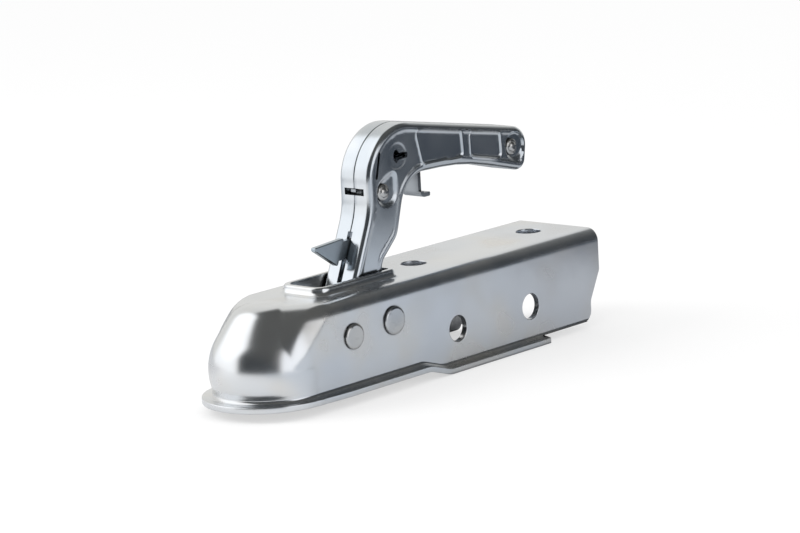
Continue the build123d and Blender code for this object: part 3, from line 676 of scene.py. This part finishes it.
def handle_half(name, side, s):
    """One pressed half shell: rolled rim, pressed face with its holes, and the inner skin."""
    half, shell, rim_r, seam_r = s.half / MM, s.shell / MM, s.rim_r / MM, s.seam_r / MM
    outline = rounded_path(HANDLE_CORNERS, HANDLE_RADII, step=1.2, bow=6.0)
    way = outward(outline)
    holes = [keyhole_outline(), shank_slot_outline()]
    holes += [ring_points(place, PIN_HOLE_R, PIN_SIDES) for place in (ELBOW, GRIP_END)]
    holes.append(ring_points(PIVOT_AXIS, SLEEVE_HOLE_R, SLEEVE_SIDES))
    holes.append(ring_points(LINK_AXIS, PIN_HOLE_R, PIN_SIDES))
    profile = [(shell, half - shell), (shell, seam_r), (shell - 0.2, SEAM_GAP), (seam_r, SEAM_GAP)]
    for a in np.linspace(0, pi / 2, 4)[1:]:
        profile.append((seam_r * (1 - sin(a)), SEAM_GAP + seam_r * (1 - cos(a))))
    profile += [(0.0, y) for y in np.linspace(seam_r + SEAM_GAP, half - rim_r, 5)[1:]]
    for a in np.linspace(0, pi / 2, 9)[1:]:
        profile.append((rim_r * (1 - cos(a)), half - rim_r + rim_r * sin(a)))
    verts = [(x, y, z) for inset, y in profile for x, z in outline - way * inset]
    _, faces = sides(len(profile), len(outline))
    rim = outline - way * rim_r
    guides = np.concatenate(fine_lines() + [rim - way * inset for inset in (0.7, 1.4, 2.1)])
    pitch, apart, grid_in, rim_in, hole_out = 1.0, 0.5, 2.5, 0.35, 0.3
    across, up = (np.arange(low, high, pitch) for low, high in zip(rim.min(0), rim.max(0)))
    grid = np.array([(x, z) for x in across for z in up])
    grid = grid[outline_distance(grid, rim) < -grid_in]
    free = np.ones(len(grid), bool)
    for block in np.array_split(guides, 8):
        gaps = np.hypot(grid[:, None, 0] - block[None, :, 0], grid[:, None, 1] - block[None, :, 1])
        free &= gaps.min(1) > apart
    inner = np.concatenate([guides, grid[free]])
    clear = outline_distance(inner, rim) < -rim_in
    for hole in holes:
        clear &= outline_distance(inner, hole) > hole_out
    flat, tris, rings = meshed_face(rim, holes, inner[clear])
    depth = pressed_depth(flat, outline, s) * ease(-outline_distance(flat, rim), 0.0, 0.7)
    flat_in, tris_in, rings_in = meshed_face(outline - way * shell, holes, np.zeros((0, 2)))
    start = len(verts)
    start_in = start + len(flat)
    verts += [(x, half - d, z) for (x, z), d in zip(flat, depth)]
    verts += [(x, half - shell, z) for x, z in flat_in]
    for base, triangles in ((start, tris), (start_in, tris_in)):
        faces += [tuple(base + k for k in f) for f in triangles]
    for ring, ring_in in zip(rings[1:], rings_in[1:]):
        faces += strip([start + k for k in ring], [start_in + k for k in ring_in])
    return mesh_piece(name, np.array(verts) * (1, side, 1), faces, weld=1.5 * WELD)


def box_tool(name, x, z, y):
    """Box between two corners."""
    plan = [(x[0], z[0]), (x[1], z[0]), (x[1], z[1]), (x[0], z[1])]
    return joined_loops(name, [[(a, level, b) for a, b in plan] for level in y])


class COUPLING_OT_handle(bpy.types.Operator):
    """Two pressed half shells of the lever handle"""

    bl_idname = "coupling.handle"
    bl_label = "Handle halves"

    def execute(self, context):
        s = context.scene.coupling_handle
        inside, hair = s.half / MM - s.shell / MM, 0.001
        # Ranges along X and Z, and depths: foot, rear of the shank twice, flag's slot, window, trigger
        openings = [
            ((36.0, 83.2), (-23.2, 24.0), inside),
            ((78.2, 102.2), (23.9, 56.0), inside + hair),
            ((70.7, 100.7), (23.8, 44.0), inside - hair),
            ((48.7, 65.5), (31.0, 54.5), 1.5),
            ((63.5, 70.5), (71.6, 75.0), 6.2),
            ((100.0, 122.0), (73.5, 79.5), 6.6),
        ]
        for hand, side in (("left", -1), ("right", 1)):
            piece = handle_half(f"handle_shell_{hand}", side, s)
            for x, z, deep in openings:
                carve(piece, box_tool("opening", x, z, sorted((-side, side * deep))), "DIFFERENCE")
            smooth(piece, angle=34)
            hand_over(piece, "handle", "zinc_handle", [f"handle_{hand}"])
        return {"FINISHED"}


# Node trees


def feed(tree, value, socket):
    """Gives a socket a constant, or links it to another socket."""
    if isinstance(value, bpy.types.NodeSocket):
        tree.links.new(value, socket)
    else:
        socket.default_value = value


def node(tree, kind, **values):
    """Node with constants or sockets for its inputs by name."""
    made = tree.nodes.new(kind)
    for label, value in values.items():
        feed(tree, value, made.inputs[label.replace("_", " ")])
    return made


def maths(tree, operation, *values):
    """Math node on sockets or numbers."""
    made = tree.nodes.new("ShaderNodeMath")
    made.operation = operation
    for socket, value in zip(made.inputs, values):
        feed(tree, value, socket)
    return made.outputs[0]


def mixed(tree, share, a, b, kind="RGBA"):
    """Mix of two colours or, with the kind FLOAT, of two numbers."""
    made = tree.nodes.new("ShaderNodeMix")
    made.data_type = kind
    first, out = (6, 2) if kind == "RGBA" else (2, 0)
    for value, number in ((share, 0), (a, first), (b, first + 1)):
        feed(tree, (*value, 1) if isinstance(value, tuple) else value, made.inputs[number])
    return made.outputs[out]


def ramp(tree, value, low, high, to_low=0.0, to_high=1.0):
    """Smooth map of a value from one range to another."""
    made = node(tree, "ShaderNodeMapRange", Value=value, From_Min=low, From_Max=high)
    made.interpolation_type = "SMOOTHSTEP"
    feed(tree, to_low, made.inputs["To Min"])
    feed(tree, to_high, made.inputs["To Max"])
    return made.outputs["Result"]


def shaped(tree, value, points):
    """Float curve through points."""
    made = node(tree, "ShaderNodeFloatCurve", Value=value)
    curve = made.mapping.curves[0]
    curve.points[0].location = points[0]
    curve.points[1].location = points[-1]
    for x, y in points[1:-1]:
        curve.points.new(x, y)
    for point in curve.points:
        point.handle_type = "VECTOR"
    made.mapping.update()
    return made.outputs[0]


def held(tree, label, kind):
    """Value of a named attribute."""
    made = tree.nodes.new("GeometryNodeInputNamedAttribute")
    made.data_type = kind
    feed(tree, label, made.inputs["Name"])
    return made.outputs["Attribute"]


def new_tree(name, inputs):
    """Empty geometry tree with named inputs: each is a name and a kind of socket, and a finish comes last."""
    tree = bpy.data.node_groups.new(name, "GeometryNodeTree")
    for label, kind in [("Geometry", "Geometry"), *inputs, ("Finish", "Material")]:
        tree.interface.new_socket(name=label, in_out="INPUT", socket_type=f"NodeSocket{kind}")
    tree.interface.new_socket(name="Geometry", in_out="OUTPUT", socket_type="NodeSocketGeometry")
    return tree, tree.nodes.new("NodeGroupInput").outputs, tree.nodes.new("NodeGroupOutput").inputs


def end_tree(tree, given, ends, shape):
    """Ends a tree with real geometry in the finish that it is given."""
    real = node(tree, "GeometryNodeRealizeInstances", Geometry=shape)
    coat = node(tree, "GeometryNodeSetMaterial", Geometry=real.outputs[0], Material=given["Finish"])
    feed(tree, coat.outputs[0], ends[0])
    return tree


def grow(piece, tree, values):
    """Runs a node tree on a piece with inputs by name, and keeps its result as a plain mesh."""
    step = piece.modifiers.new("grow", "NODES")
    step.node_group = tree
    for item in tree.interface.items_tree:
        if item.in_out == "INPUT" and item.name in values:
            step[item.identifier] = values[item.name]
    bake(piece)
    if not len(piece.data.polygons):
        raise RuntimeError(f"{piece.name}: the node tree made no faces")
    mend(piece.data)


# Rivets: the heads' rows hold the way down the profile, and the radius and height there

PEENED_HEAD = [
    (0, 0, 0.88), (0.34, 0.78, 1), (0.40, 0.85, 0.97), (0.50, 0.97, 0.78),
    (0.56, 1, 0.62), (0.70, 1, 0.1), (0.75, 0.96, 0), (1, 0, 0),
]
BUTTON_HEAD = [
    (0, 0, 1), (0.16, 0.30, 0.96), (0.26, 0.46, 0.86), (0.32, 0.58, 0.72), (0.36, 0.62, 0.60),
    (0.46, 0.84, 0.54), (0.58, 0.98, 0.34), (0.68, 1, 0.1), (0.75, 0.96, 0), (1, 0, 0),
]
HEAD_ROWS, SHANK_SIDES = 29, 32
CLAMP_RIVET_R, PIVOT_RIVET_R, BUTTON_RIVET_R = 5.0, 4.0, 3.0


def rivet_tree():
    """Turned heads and shanks set on points: size, turn and kind come from the points."""
    tree, given, ends = new_tree("rivets", [("Segments", "Int"), ("Crown", "Float")])
    grid = node(tree, "GeometryNodeMeshGrid", Size_X=1.0, Size_Y=1.0, Vertices_Y=HEAD_ROWS)
    feed(tree, given["Segments"], grid.inputs["Vertices X"])
    spot = node(tree, "GeometryNodeInputPosition").outputs[0]
    place = node(tree, "ShaderNodeSeparateXYZ", Vector=spot)
    around = maths(tree, "MULTIPLY", maths(tree, "ADD", place.outputs["X"], 0.5), 2 * pi)
    down = maths(tree, "ADD", place.outputs["Y"], 0.5)
    sizes = []
    for k in (1, 2):
        rows = [[(row[0], row[k]) for row in head] for head in (PEENED_HEAD, BUTTON_HEAD)]
        peened, button = (shaped(tree, down, points) for points in rows)
        sizes.append(mixed(tree, given["Crown"], peened, button, "FLOAT"))
    radius, height = sizes
    x = maths(tree, "MULTIPLY", radius, maths(tree, "COSINE", around))
    y = maths(tree, "MULTIPLY", radius, maths(tree, "SINE", around))
    spread = node(tree, "ShaderNodeCombineXYZ", X=x, Y=y, Z=height)
    turned = node(tree, "GeometryNodeSetPosition", Geometry=grid.outputs["Mesh"], Position=spread.outputs[0])
    closed = node(tree, "GeometryNodeMergeByDistance", Geometry=turned.outputs[0], Distance=0.0005)
    shank = node(tree, "GeometryNodeMeshCylinder", Vertices=SHANK_SIDES, Radius=1.0, Depth=2.0)
    size = held(tree, "size", "FLOAT_VECTOR")
    turn = node(tree, "FunctionNodeEulerToRotation", Euler=held(tree, "turn", "FLOAT_VECTOR")).outputs[0]
    is_head = held(tree, "is_head", "BOOLEAN")
    is_shank = node(tree, "FunctionNodeBooleanMath")
    is_shank.operation = "NOT"
    feed(tree, is_head, is_shank.inputs[0])
    both = node(tree, "GeometryNodeJoinGeometry")
    for shape, chosen in ((closed.outputs[0], is_head), (shank.outputs["Mesh"], is_shank.outputs[0])):
        spread_on = node(
            tree, "GeometryNodeInstanceOnPoints",
            Points=given["Geometry"], Selection=chosen, Instance=shape, Rotation=turn, Scale=size,
        )
        feed(tree, spread_on.outputs[0], both.inputs[0])
    return end_tree(tree, given, ends, both.outputs[0])


def rivet_points(name, rivets):
    """Points for rivets: each holds its centre, shank and head radius, head height and half grip."""
    rows = []
    for x, z, shank_r, head_r, height, grip in rivets:
        for side in (-1, 1):
            rows.append(((x, side * grip, z), (head_r, head_r, height), (-side * pi / 2, 0, 0), True))
        rows.append(((x, 0, z), (shank_r, shank_r, grip), (pi / 2, 0, 0), False))
    spots, sizes, turns, heads = (np.array(column) for column in zip(*rows))
    mesh = bpy.data.meshes.new(name)
    mesh.from_pydata((spots * MM).tolist(), [], [])
    for label, values in (("size", sizes * MM), ("turn", turns)):
        kept = mesh.attributes.new(label, "FLOAT_VECTOR", "POINT")
        kept.data.foreach_set("vector", values.astype(np.float32).ravel())
    kept = mesh.attributes.new("is_head", "BOOLEAN", "POINT")
    kept.data.foreach_set("value", heads)
    return put(name, mesh)


class COUPLING_OT_rivets(bpy.types.Operator):
    """Peened rivets of the housing and of the handle"""

    bl_idname = "coupling.rivets"
    bl_label = "Rivets"

    def execute(self, context):
        s, handle = context.scene.coupling_rivets, context.scene.coupling_handle
        wall = context.scene.coupling_housing.wall_out / MM
        seat = handle.half / MM - handle.dimple_depth / MM
        head_h, button_r, button_h = s.head_h / MM, s.button_head / MM / 2, s.button_h / MM
        cross = [
            (*CLAMP_AXIS, CLAMP_RIVET_R, s.clamp_head / MM / 2, head_h, wall),
            (*PIVOT_AXIS, PIVOT_RIVET_R, s.pivot_head / MM / 2, head_h, wall),
        ]
        buttons = [(*place, BUTTON_RIVET_R, button_r, button_h, seat) for place in (ELBOW, GRIP_END)]
        tree = rivet_tree()
        for name, rivets, segments, crown, body, nodes in (
            ("cross_rivets", cross, 65, 0.0, "housing", ["clamp_rivet", "handle_rivet"]),
            ("handle_rivets", buttons, 49, 1.0, "handle", ["elbow_rivet", "grip_rivet"]),
        ):
            piece = rivet_points(name, rivets)
            grow(piece, tree, {"Segments": segments, "Crown": crown, "Finish": finishes()["zinc_rivet"]})
            smooth(piece, angle=40)
            hand_over(piece, body, "zinc_rivet", nodes)
        return {"FINISHED"}


# Finishes


def new_finish(name, **values):
    """Material, its node tree and its shader with constants by name."""
    finish = bpy.data.materials.new(name)
    finish.use_nodes = True
    shader = finish.node_tree.nodes["Principled BSDF"]
    for label, value in values.items():
        shader.inputs[label.replace("_", " ")].default_value = value
    return finish, finish.node_tree, shader


def zinc(name, base, warm, cool, rough, spread, pitch, lumps):
    """Zinc plate: drifting tints, painted shade darkening the nooks, cloudy gloss and a skin with a number of
    low lumps a metre.
    """
    finish, tree, shader = new_finish(name, Metallic=1.0)
    where = node(tree, "ShaderNodeTexCoord").outputs["Object"]
    cloud = node(tree, "ShaderNodeTexNoise", Vector=where, Scale=38.0, Detail=2.0, Roughness=0.5).outputs[0]
    drift = node(tree, "ShaderNodeTexNoise", Vector=where, Scale=16.0, Detail=1.0, Distortion=0.6).outputs[0]
    swell = node(tree, "ShaderNodeTexNoise", Vector=where, Scale=pitch, Detail=1.0).outputs[0]
    tint = mixed(tree, ramp(tree, cloud, 0.42, 0.68, 0.0, 0.55), base, warm)
    tint = mixed(tree, ramp(tree, drift, 0.45, 0.7, 0.0, 0.6), tint, cool)
    # Painted shade: ambient occlusion darkens the base colour in nooks, creases and round the rivet heads
    crevice_shade, crevice_shade_share = node(tree, "ShaderNodeAmbientOcclusion", Distance=0.0025), 0.35
    crevice_shade.samples = 16
    painted_shade_colour = tuple(c * crevice_shade_share for c in base)
    tint = mixed(tree, ramp(tree, crevice_shade.outputs["AO"], 0.45, 0.9), painted_shade_colour, tint)
    gloss = ramp(tree, cloud, 0.3, 0.7, rough - spread, rough + spread)
    rise = maths(tree, "MULTIPLY", swell, lumps)
    bump = node(tree, "ShaderNodeBump", Strength=1.0, Distance=0.001, Height=rise).outputs[0]
    for label, value in (("Base Color", tint), ("Roughness", gloss), ("Normal", bump)):
        feed(tree, value, shader.inputs[label])
    return finish


def finishes():
    """The finishes by slot, made once."""
    made = {m["coupling_finish"]: m for m in bpy.data.materials if "coupling_finish" in m}
    if made:
        return made
    c = bpy.context.scene.coupling_colours
    plate, warm, cool, handle = tuple(c.zinc), tuple(c.zinc_warm), tuple(c.zinc_cool), tuple(c.handle)
    # Colour, two tints, roughness and its spread, lumps a metre and their height in millimetres
    table = {
        "zinc_housing": (plate, warm, cool, 0.24, 0.04, 80.0, 0.05),
        "zinc_handle": (handle, plate, cool, 0.20, 0.03, 90.0, 0.03),
        "zinc_rivet": (tuple(c.rivet), warm, cool, 0.20, 0.05, 420.0, 0.16),
        "zinc_inner": (plate, warm, cool, 0.30, 0.06, 200.0, 0.03),
        # The trigger's dark colour is painted shade from the grip above it
        "zinc_trigger": (tuple(c.trigger), handle, cool, 0.28, 0.05, 120.0, 0.03),
        "zinc_indicator": (tuple(c.flag), handle, cool, 0.32, 0.05, 160.0, 0.03),
        "cast_clamp": (tuple(c.cast), warm, cool, 0.48, 0.08, 500.0, 0.25),
        "spring_steel": (tuple(c.wire), handle, cool, 0.30, 0.06, 400.0, 0.03),
    }
    for slot, numbers in table.items():
        made[slot] = zinc(slot, *numbers)
        made[slot]["coupling_finish"] = slot
    return made


# Springs and inner pieces


def spring_tree():
    """Coil with two straight legs, all round wire."""
    labels = "Coil radius", "Coil height", "Turns", "Wire radius", "Low leg", "High leg"
    tree, given, ends = new_tree("jaw_spring", [(label, "Float") for label in labels])
    coil_r, coil_h = given["Coil radius"], given["Coil height"]
    coil = node(
        tree, "GeometryNodeCurveSpiral",
        Resolution=48, Rotations=given["Turns"], Start_Radius=coil_r, End_Radius=coil_r, Height=coil_h,
    )
    paths = node(tree, "GeometryNodeJoinGeometry", Geometry=coil.outputs[0])
    for label, height, way in (("Low leg", 0.0, 1.0), ("High leg", coil_h, -1.0)):
        reach = maths(tree, "MULTIPLY", given[label], way)
        root, tip = (node(tree, "ShaderNodeCombineXYZ", X=coil_r, Y=y, Z=height) for y in (0.0, reach))
        leg = node(tree, "GeometryNodeCurvePrimitiveLine", Start=root.outputs[0], End=tip.outputs[0])
        feed(tree, leg.outputs[0], paths.inputs[0])
    ring = node(tree, "GeometryNodeCurvePrimitiveCircle", Resolution=16, Radius=given["Wire radius"])
    tube = node(tree, "GeometryNodeCurveToMesh", Curve=paths.outputs[0], Profile_Curve=ring.outputs[0])
    feed(tree, True, tube.inputs["Fill Caps"])
    return end_tree(tree, given, ends, tube.outputs[0])


def bend_over(piece, stands_for):
    """Stands a spring in for its node, with smooth shading and its placement baked into its mesh."""
    smooth(piece, angle=50)
    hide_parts(stands_for)
    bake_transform(piece)


class COUPLING_OT_springs(bpy.types.Operator):
    """Jaw spring, wound from round wire, and the trigger's leaf spring"""

    bl_idname = "coupling.springs"
    bl_label = "Springs"

    def execute(self, context):
        steel = finishes()["spring_steel"]
        side, leg_x, leaf_x = 18.0, 40.5, 110.0
        values = {
            "Coil radius": 10.0 * MM,
            "Coil height": 5.0 * MM,
            "Turns": 2.0,
            "Wire radius": 1.2 * MM,
            "Low leg": 22.0 * MM,
            "High leg": 13.9 * MM,
            "Finish": steel,
        }
        piece = put("jaw_spring", bpy.data.meshes.new("jaw_spring"))
        grow(piece, spring_tree(), values)
        place = Matrix.Translation((CLAMP_AXIS[0] * MM, side * MM, CLAMP_AXIS[1] * MM))
        piece.data.transform(place @ Matrix.Rotation(-pi / 2, 4, "X"))
        bend_over(piece, "clamp_spring")
        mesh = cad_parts["trigger_spring"].data.copy()
        mend(mesh, WELD, turn=False)
        mesh.materials.clear()
        mesh.materials.append(steel)
        leaf = put("trigger_leaf", mesh)
        bend_over(leaf, "trigger_spring")
        return {"FINISHED"}


class COUPLING_OT_inner(bpy.types.Operator):
    """Finishes of the sleeves, spacers, link, jaw, trigger and indicator"""

    bl_idname = "coupling.inner"
    bl_label = "Inner pieces"

    def execute(self, context):
        slots = {
            "zinc_inner": [
                "pivot_sleeve", "handle_spacer_left", "handle_spacer_right", "clamp_spacer_left",
                "clamp_spacer_right", "elbow_sleeve", "grip_sleeve", "link_rivet", "clamp_pin", "pull_link",
            ],
            "cast_clamp": ["ball_clamp"],
            "zinc_trigger": ["trigger"],
            "zinc_indicator": ["indicator"],
        }
        for slot, names in slots.items():
            for name in names:
                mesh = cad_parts[name].data
                mesh.materials.clear()
                mesh.materials.append(finishes()[slot])
        return {"FINISHED"}


# Stage


def soft_light(name, place, aim, size, power):
    """Square area lamp that looks at a point."""
    lamp = bpy.data.lights.new(name, "AREA")
    lamp.shape = "RECTANGLE"
    lamp.size, lamp.size_y = size
    lamp.energy = power
    holder = put(name, lamp)
    holder.location = place
    holder.rotation_mode = "QUATERNION"
    holder.rotation_quaternion = (Vector(aim) - Vector(place)).to_track_quat("-Z", "Y")
    return holder


def towards(tree, way, aim):
    """Dot product of split coordinates with a direction."""
    total = maths(tree, "MULTIPLY", way.outputs["X"], aim[0])
    total = maths(tree, "ADD", total, maths(tree, "MULTIPLY", way.outputs["Y"], aim[1]))
    return maths(tree, "ADD", total, maths(tree, "MULTIPLY", way.outputs["Z"], aim[2]))


def layered(tree, way, shown, layers):
    """Colours laid over a colour: each holds its colour and limits, a direction with a start and an end."""
    for tint, *limits in layers:
        share = None
        for aim, low, high in limits:
            value = way.outputs[aim] if isinstance(aim, str) else towards(tree, way, aim)
            part = ramp(tree, value, low, high)
            share = part if share is None else maths(tree, "MULTIPLY", share, part)
        shown = mixed(tree, share, shown, tint)
    return shown


def studio_world():
    """White for the camera and for light; a dim studio with a bright backdrop for reflections."""
    world = bpy.data.worlds.new("studio")
    bpy.context.scene.world = world
    world.use_nodes = True
    tree = world.node_tree
    tree.nodes.clear()
    way = node(tree, "ShaderNodeSeparateXYZ", Vector=node(tree, "ShaderNodeTexCoord").outputs["Generated"])
    cloth = (0.85, 0.84, 0.81)
    # Dim top, backdrop, cloth above, left box, right box, glow over the nose and ground
    layers = [
        ((0.10, 0.10, 0.095), ("Z", 0.2, 0.95)),
        (cloth, ((0.717, 0.697, 0), 0.30, 0.80), ("Z", 0.75, 0.30)),
        (cloth, ("Y", 0.22, 0.42), ("Z", 0.97, 0.85)),
        ((1.3, 1.3, 1.3), ((-0.3, 0.95, 0), 0.48, 0.72), ("Z", 0.60, 0.25), ("X", 0.08, -0.18)),
        ((1.25, 1.25, 1.27), ((0.5, -0.87, 0), 0.56, 0.66), ((0.9, 0, 1), 0.62, 0.50)),
        ((1.5, 1.5, 1.5), ((-0.42, 0.60, 0.68), 0.81, 0.90)),
        ((0.80, 0.80, 0.80), ("Z", 0.0, -0.02)),
    ]
    studio = layered(tree, way, (0.045, 0.05, 0.055), layers)
    rays = node(tree, "ShaderNodeLightPath")
    seen = mixed(tree, rays.outputs["Is Glossy Ray"], (1, 1, 1), studio)
    light = node(tree, "ShaderNodeBackground", Color=seen)
    node(tree, "ShaderNodeOutputWorld", Surface=light.outputs[0])


def floor_finish(tint):
    """Pale floor that keeps the shadow and dims away from the object in reflections."""
    finish, tree, shader = new_finish(
        "stage_floor", Roughness=0.9, Specular_IOR_Level=0.0, Emission_Strength=1.0
    )
    way = node(tree, "ShaderNodeSeparateXYZ", Vector=node(tree, "ShaderNodeTexCoord").outputs["Object"])
    layers = [
        ((0.62, 0.65, 0.69), ((0.45, -0.9, 0), 0.02, 0.12)),
        ((0.56, 0.57, 0.59), ((0.7, 0.72, 0), 0.03, 0.14)),
        ((0.06, 0.07, 0.085), ("X", 0.32, 0.42)),
    ]
    mirrored = layered(tree, way, (0.78, 0.78, 0.78), layers)
    rays = node(tree, "ShaderNodeLightPath")
    seen = rays.outputs["Is Camera Ray"]
    plain = mixed(tree, rays.outputs["Is Glossy Ray"], tint, mirrored)
    lit, own = 0.4, 0.6
    feed(tree, mixed(tree, seen, plain, tuple(c * lit for c in tint)), shader.inputs["Base Color"])
    feed(tree, mixed(tree, seen, (0, 0, 0), tuple(c * own for c in tint)), shader.inputs["Emission Color"])
    return finish


class COUPLING_OT_stage(bpy.types.Operator):
    """Floor, soft studio light and the camera"""

    bl_idname = "coupling.stage"
    bl_label = "Stage"

    def execute(self, context):
        scene = context.scene
        scene.view_settings.view_transform = "Standard"
        gap, wide = 0.0002, 3.0
        low = CAD_BOX[0].z - gap
        corners = [(-wide, -wide, low), (wide, -wide, low), (wide, wide, low), (-wide, wide, low)]
        mesh = bpy.data.meshes.new("floor")
        mesh.from_pydata(corners, [], [(0, 1, 2, 3)])
        mesh.materials.append(floor_finish(tuple(scene.coupling_colours.floor)))
        floor = put("floor", mesh)
        studio_world()
        lamp = soft_light("left_softbox", (-0.55, 0.62, 0.66), (0, 0, 0), (0.55, 0.75), 5.0)
        lamp.visible_glossy = False
        # The view's size, its focal length and the ball's centre in pixels, and the distance in metres
        view_w, view_h, focal, ball_x, ball_y, away = 800, 533, 3573.0, 268.262, 367.517, 1.7
        turn, lift, roll = radians(-45.908), radians(12.788), radians(3.74)
        back = Vector((sin(turn) * cos(lift), -cos(turn) * cos(lift), sin(lift)))
        right = Vector((cos(turn), sin(turn), 0))
        up = back.cross(right)
        right_r = right * cos(roll) - up * sin(roll)
        up_r = right * sin(roll) + up * cos(roll)
        aim = right_r * ((view_w / 2 - ball_x) / focal) + up_r * ((ball_y - view_h / 2) / focal) - back
        aim.normalize()
        lens = bpy.data.cameras.new("camera")
        lens.sensor_width = 36.0
        lens.lens = lens.sensor_width * focal / view_w
        lens.clip_end = 20.0
        camera = put("camera", lens)
        side = aim.cross(up_r).normalized()
        upward = side.cross(aim).normalized()
        pose = Matrix((side, upward, -aim)).transposed().to_4x4()
        pose.translation = back * away
        camera.matrix_world = pose
        scene.camera = camera
        return {"FINISHED"}


class COUPLING_PT_panel(bpy.types.Panel):
    """Sizes, colours and building steps of the coupling head"""

    bl_label = "Coupling head"
    bl_idname = "COUPLING_PT_panel"
    bl_space_type = "VIEW_3D"
    bl_region_type = "UI"
    bl_category = "Coupling"

    def draw(self, context):
        for step in STEPS:
            self.layout.operator(step.bl_idname)
        for label, _ in GROUPS:
            group = getattr(context.scene, label)
            box = self.layout.box()
            for entry in group.bl_rna.properties:
                if not entry.is_readonly and entry.identifier != "name":
                    box.prop(group, entry.identifier)


GROUPS = [
    ("coupling_housing", HousingSizes),
    ("coupling_handle", HandleSizes),
    ("coupling_rivets", RivetSizes),
    ("coupling_colours", CouplingColours),
]
STEPS = [
    COUPLING_OT_stage,
    COUPLING_OT_housing,
    COUPLING_OT_handle,
    COUPLING_OT_rivets,
    COUPLING_OT_springs,
    COUPLING_OT_inner,
]


def register():
    """Registers the classes and hangs the property groups on the scene."""
    for label, group in GROUPS:
        bpy.utils.register_class(group)
        setattr(bpy.types.Scene, label, bpy.props.PointerProperty(type=group))
    for step in STEPS:
        bpy.utils.register_class(step)
    bpy.utils.register_class(COUPLING_PT_panel)


def unregister():
    """Takes the classes and property groups away again."""
    bpy.utils.unregister_class(COUPLING_PT_panel)
    for step in reversed(STEPS):
        bpy.utils.unregister_class(step)
    for label, group in reversed(GROUPS):
        delattr(bpy.types.Scene, label)
        bpy.utils.unregister_class(group)


def main():
    """Builds the coupling head and the stage."""
    register()
    bpy.ops.coupling.stage()
    bpy.ops.coupling.housing()
    bpy.ops.coupling.handle()
    bpy.ops.coupling.rivets()
    bpy.ops.coupling.springs()
    bpy.ops.coupling.inner()


if __name__ == "__main__":
    main()
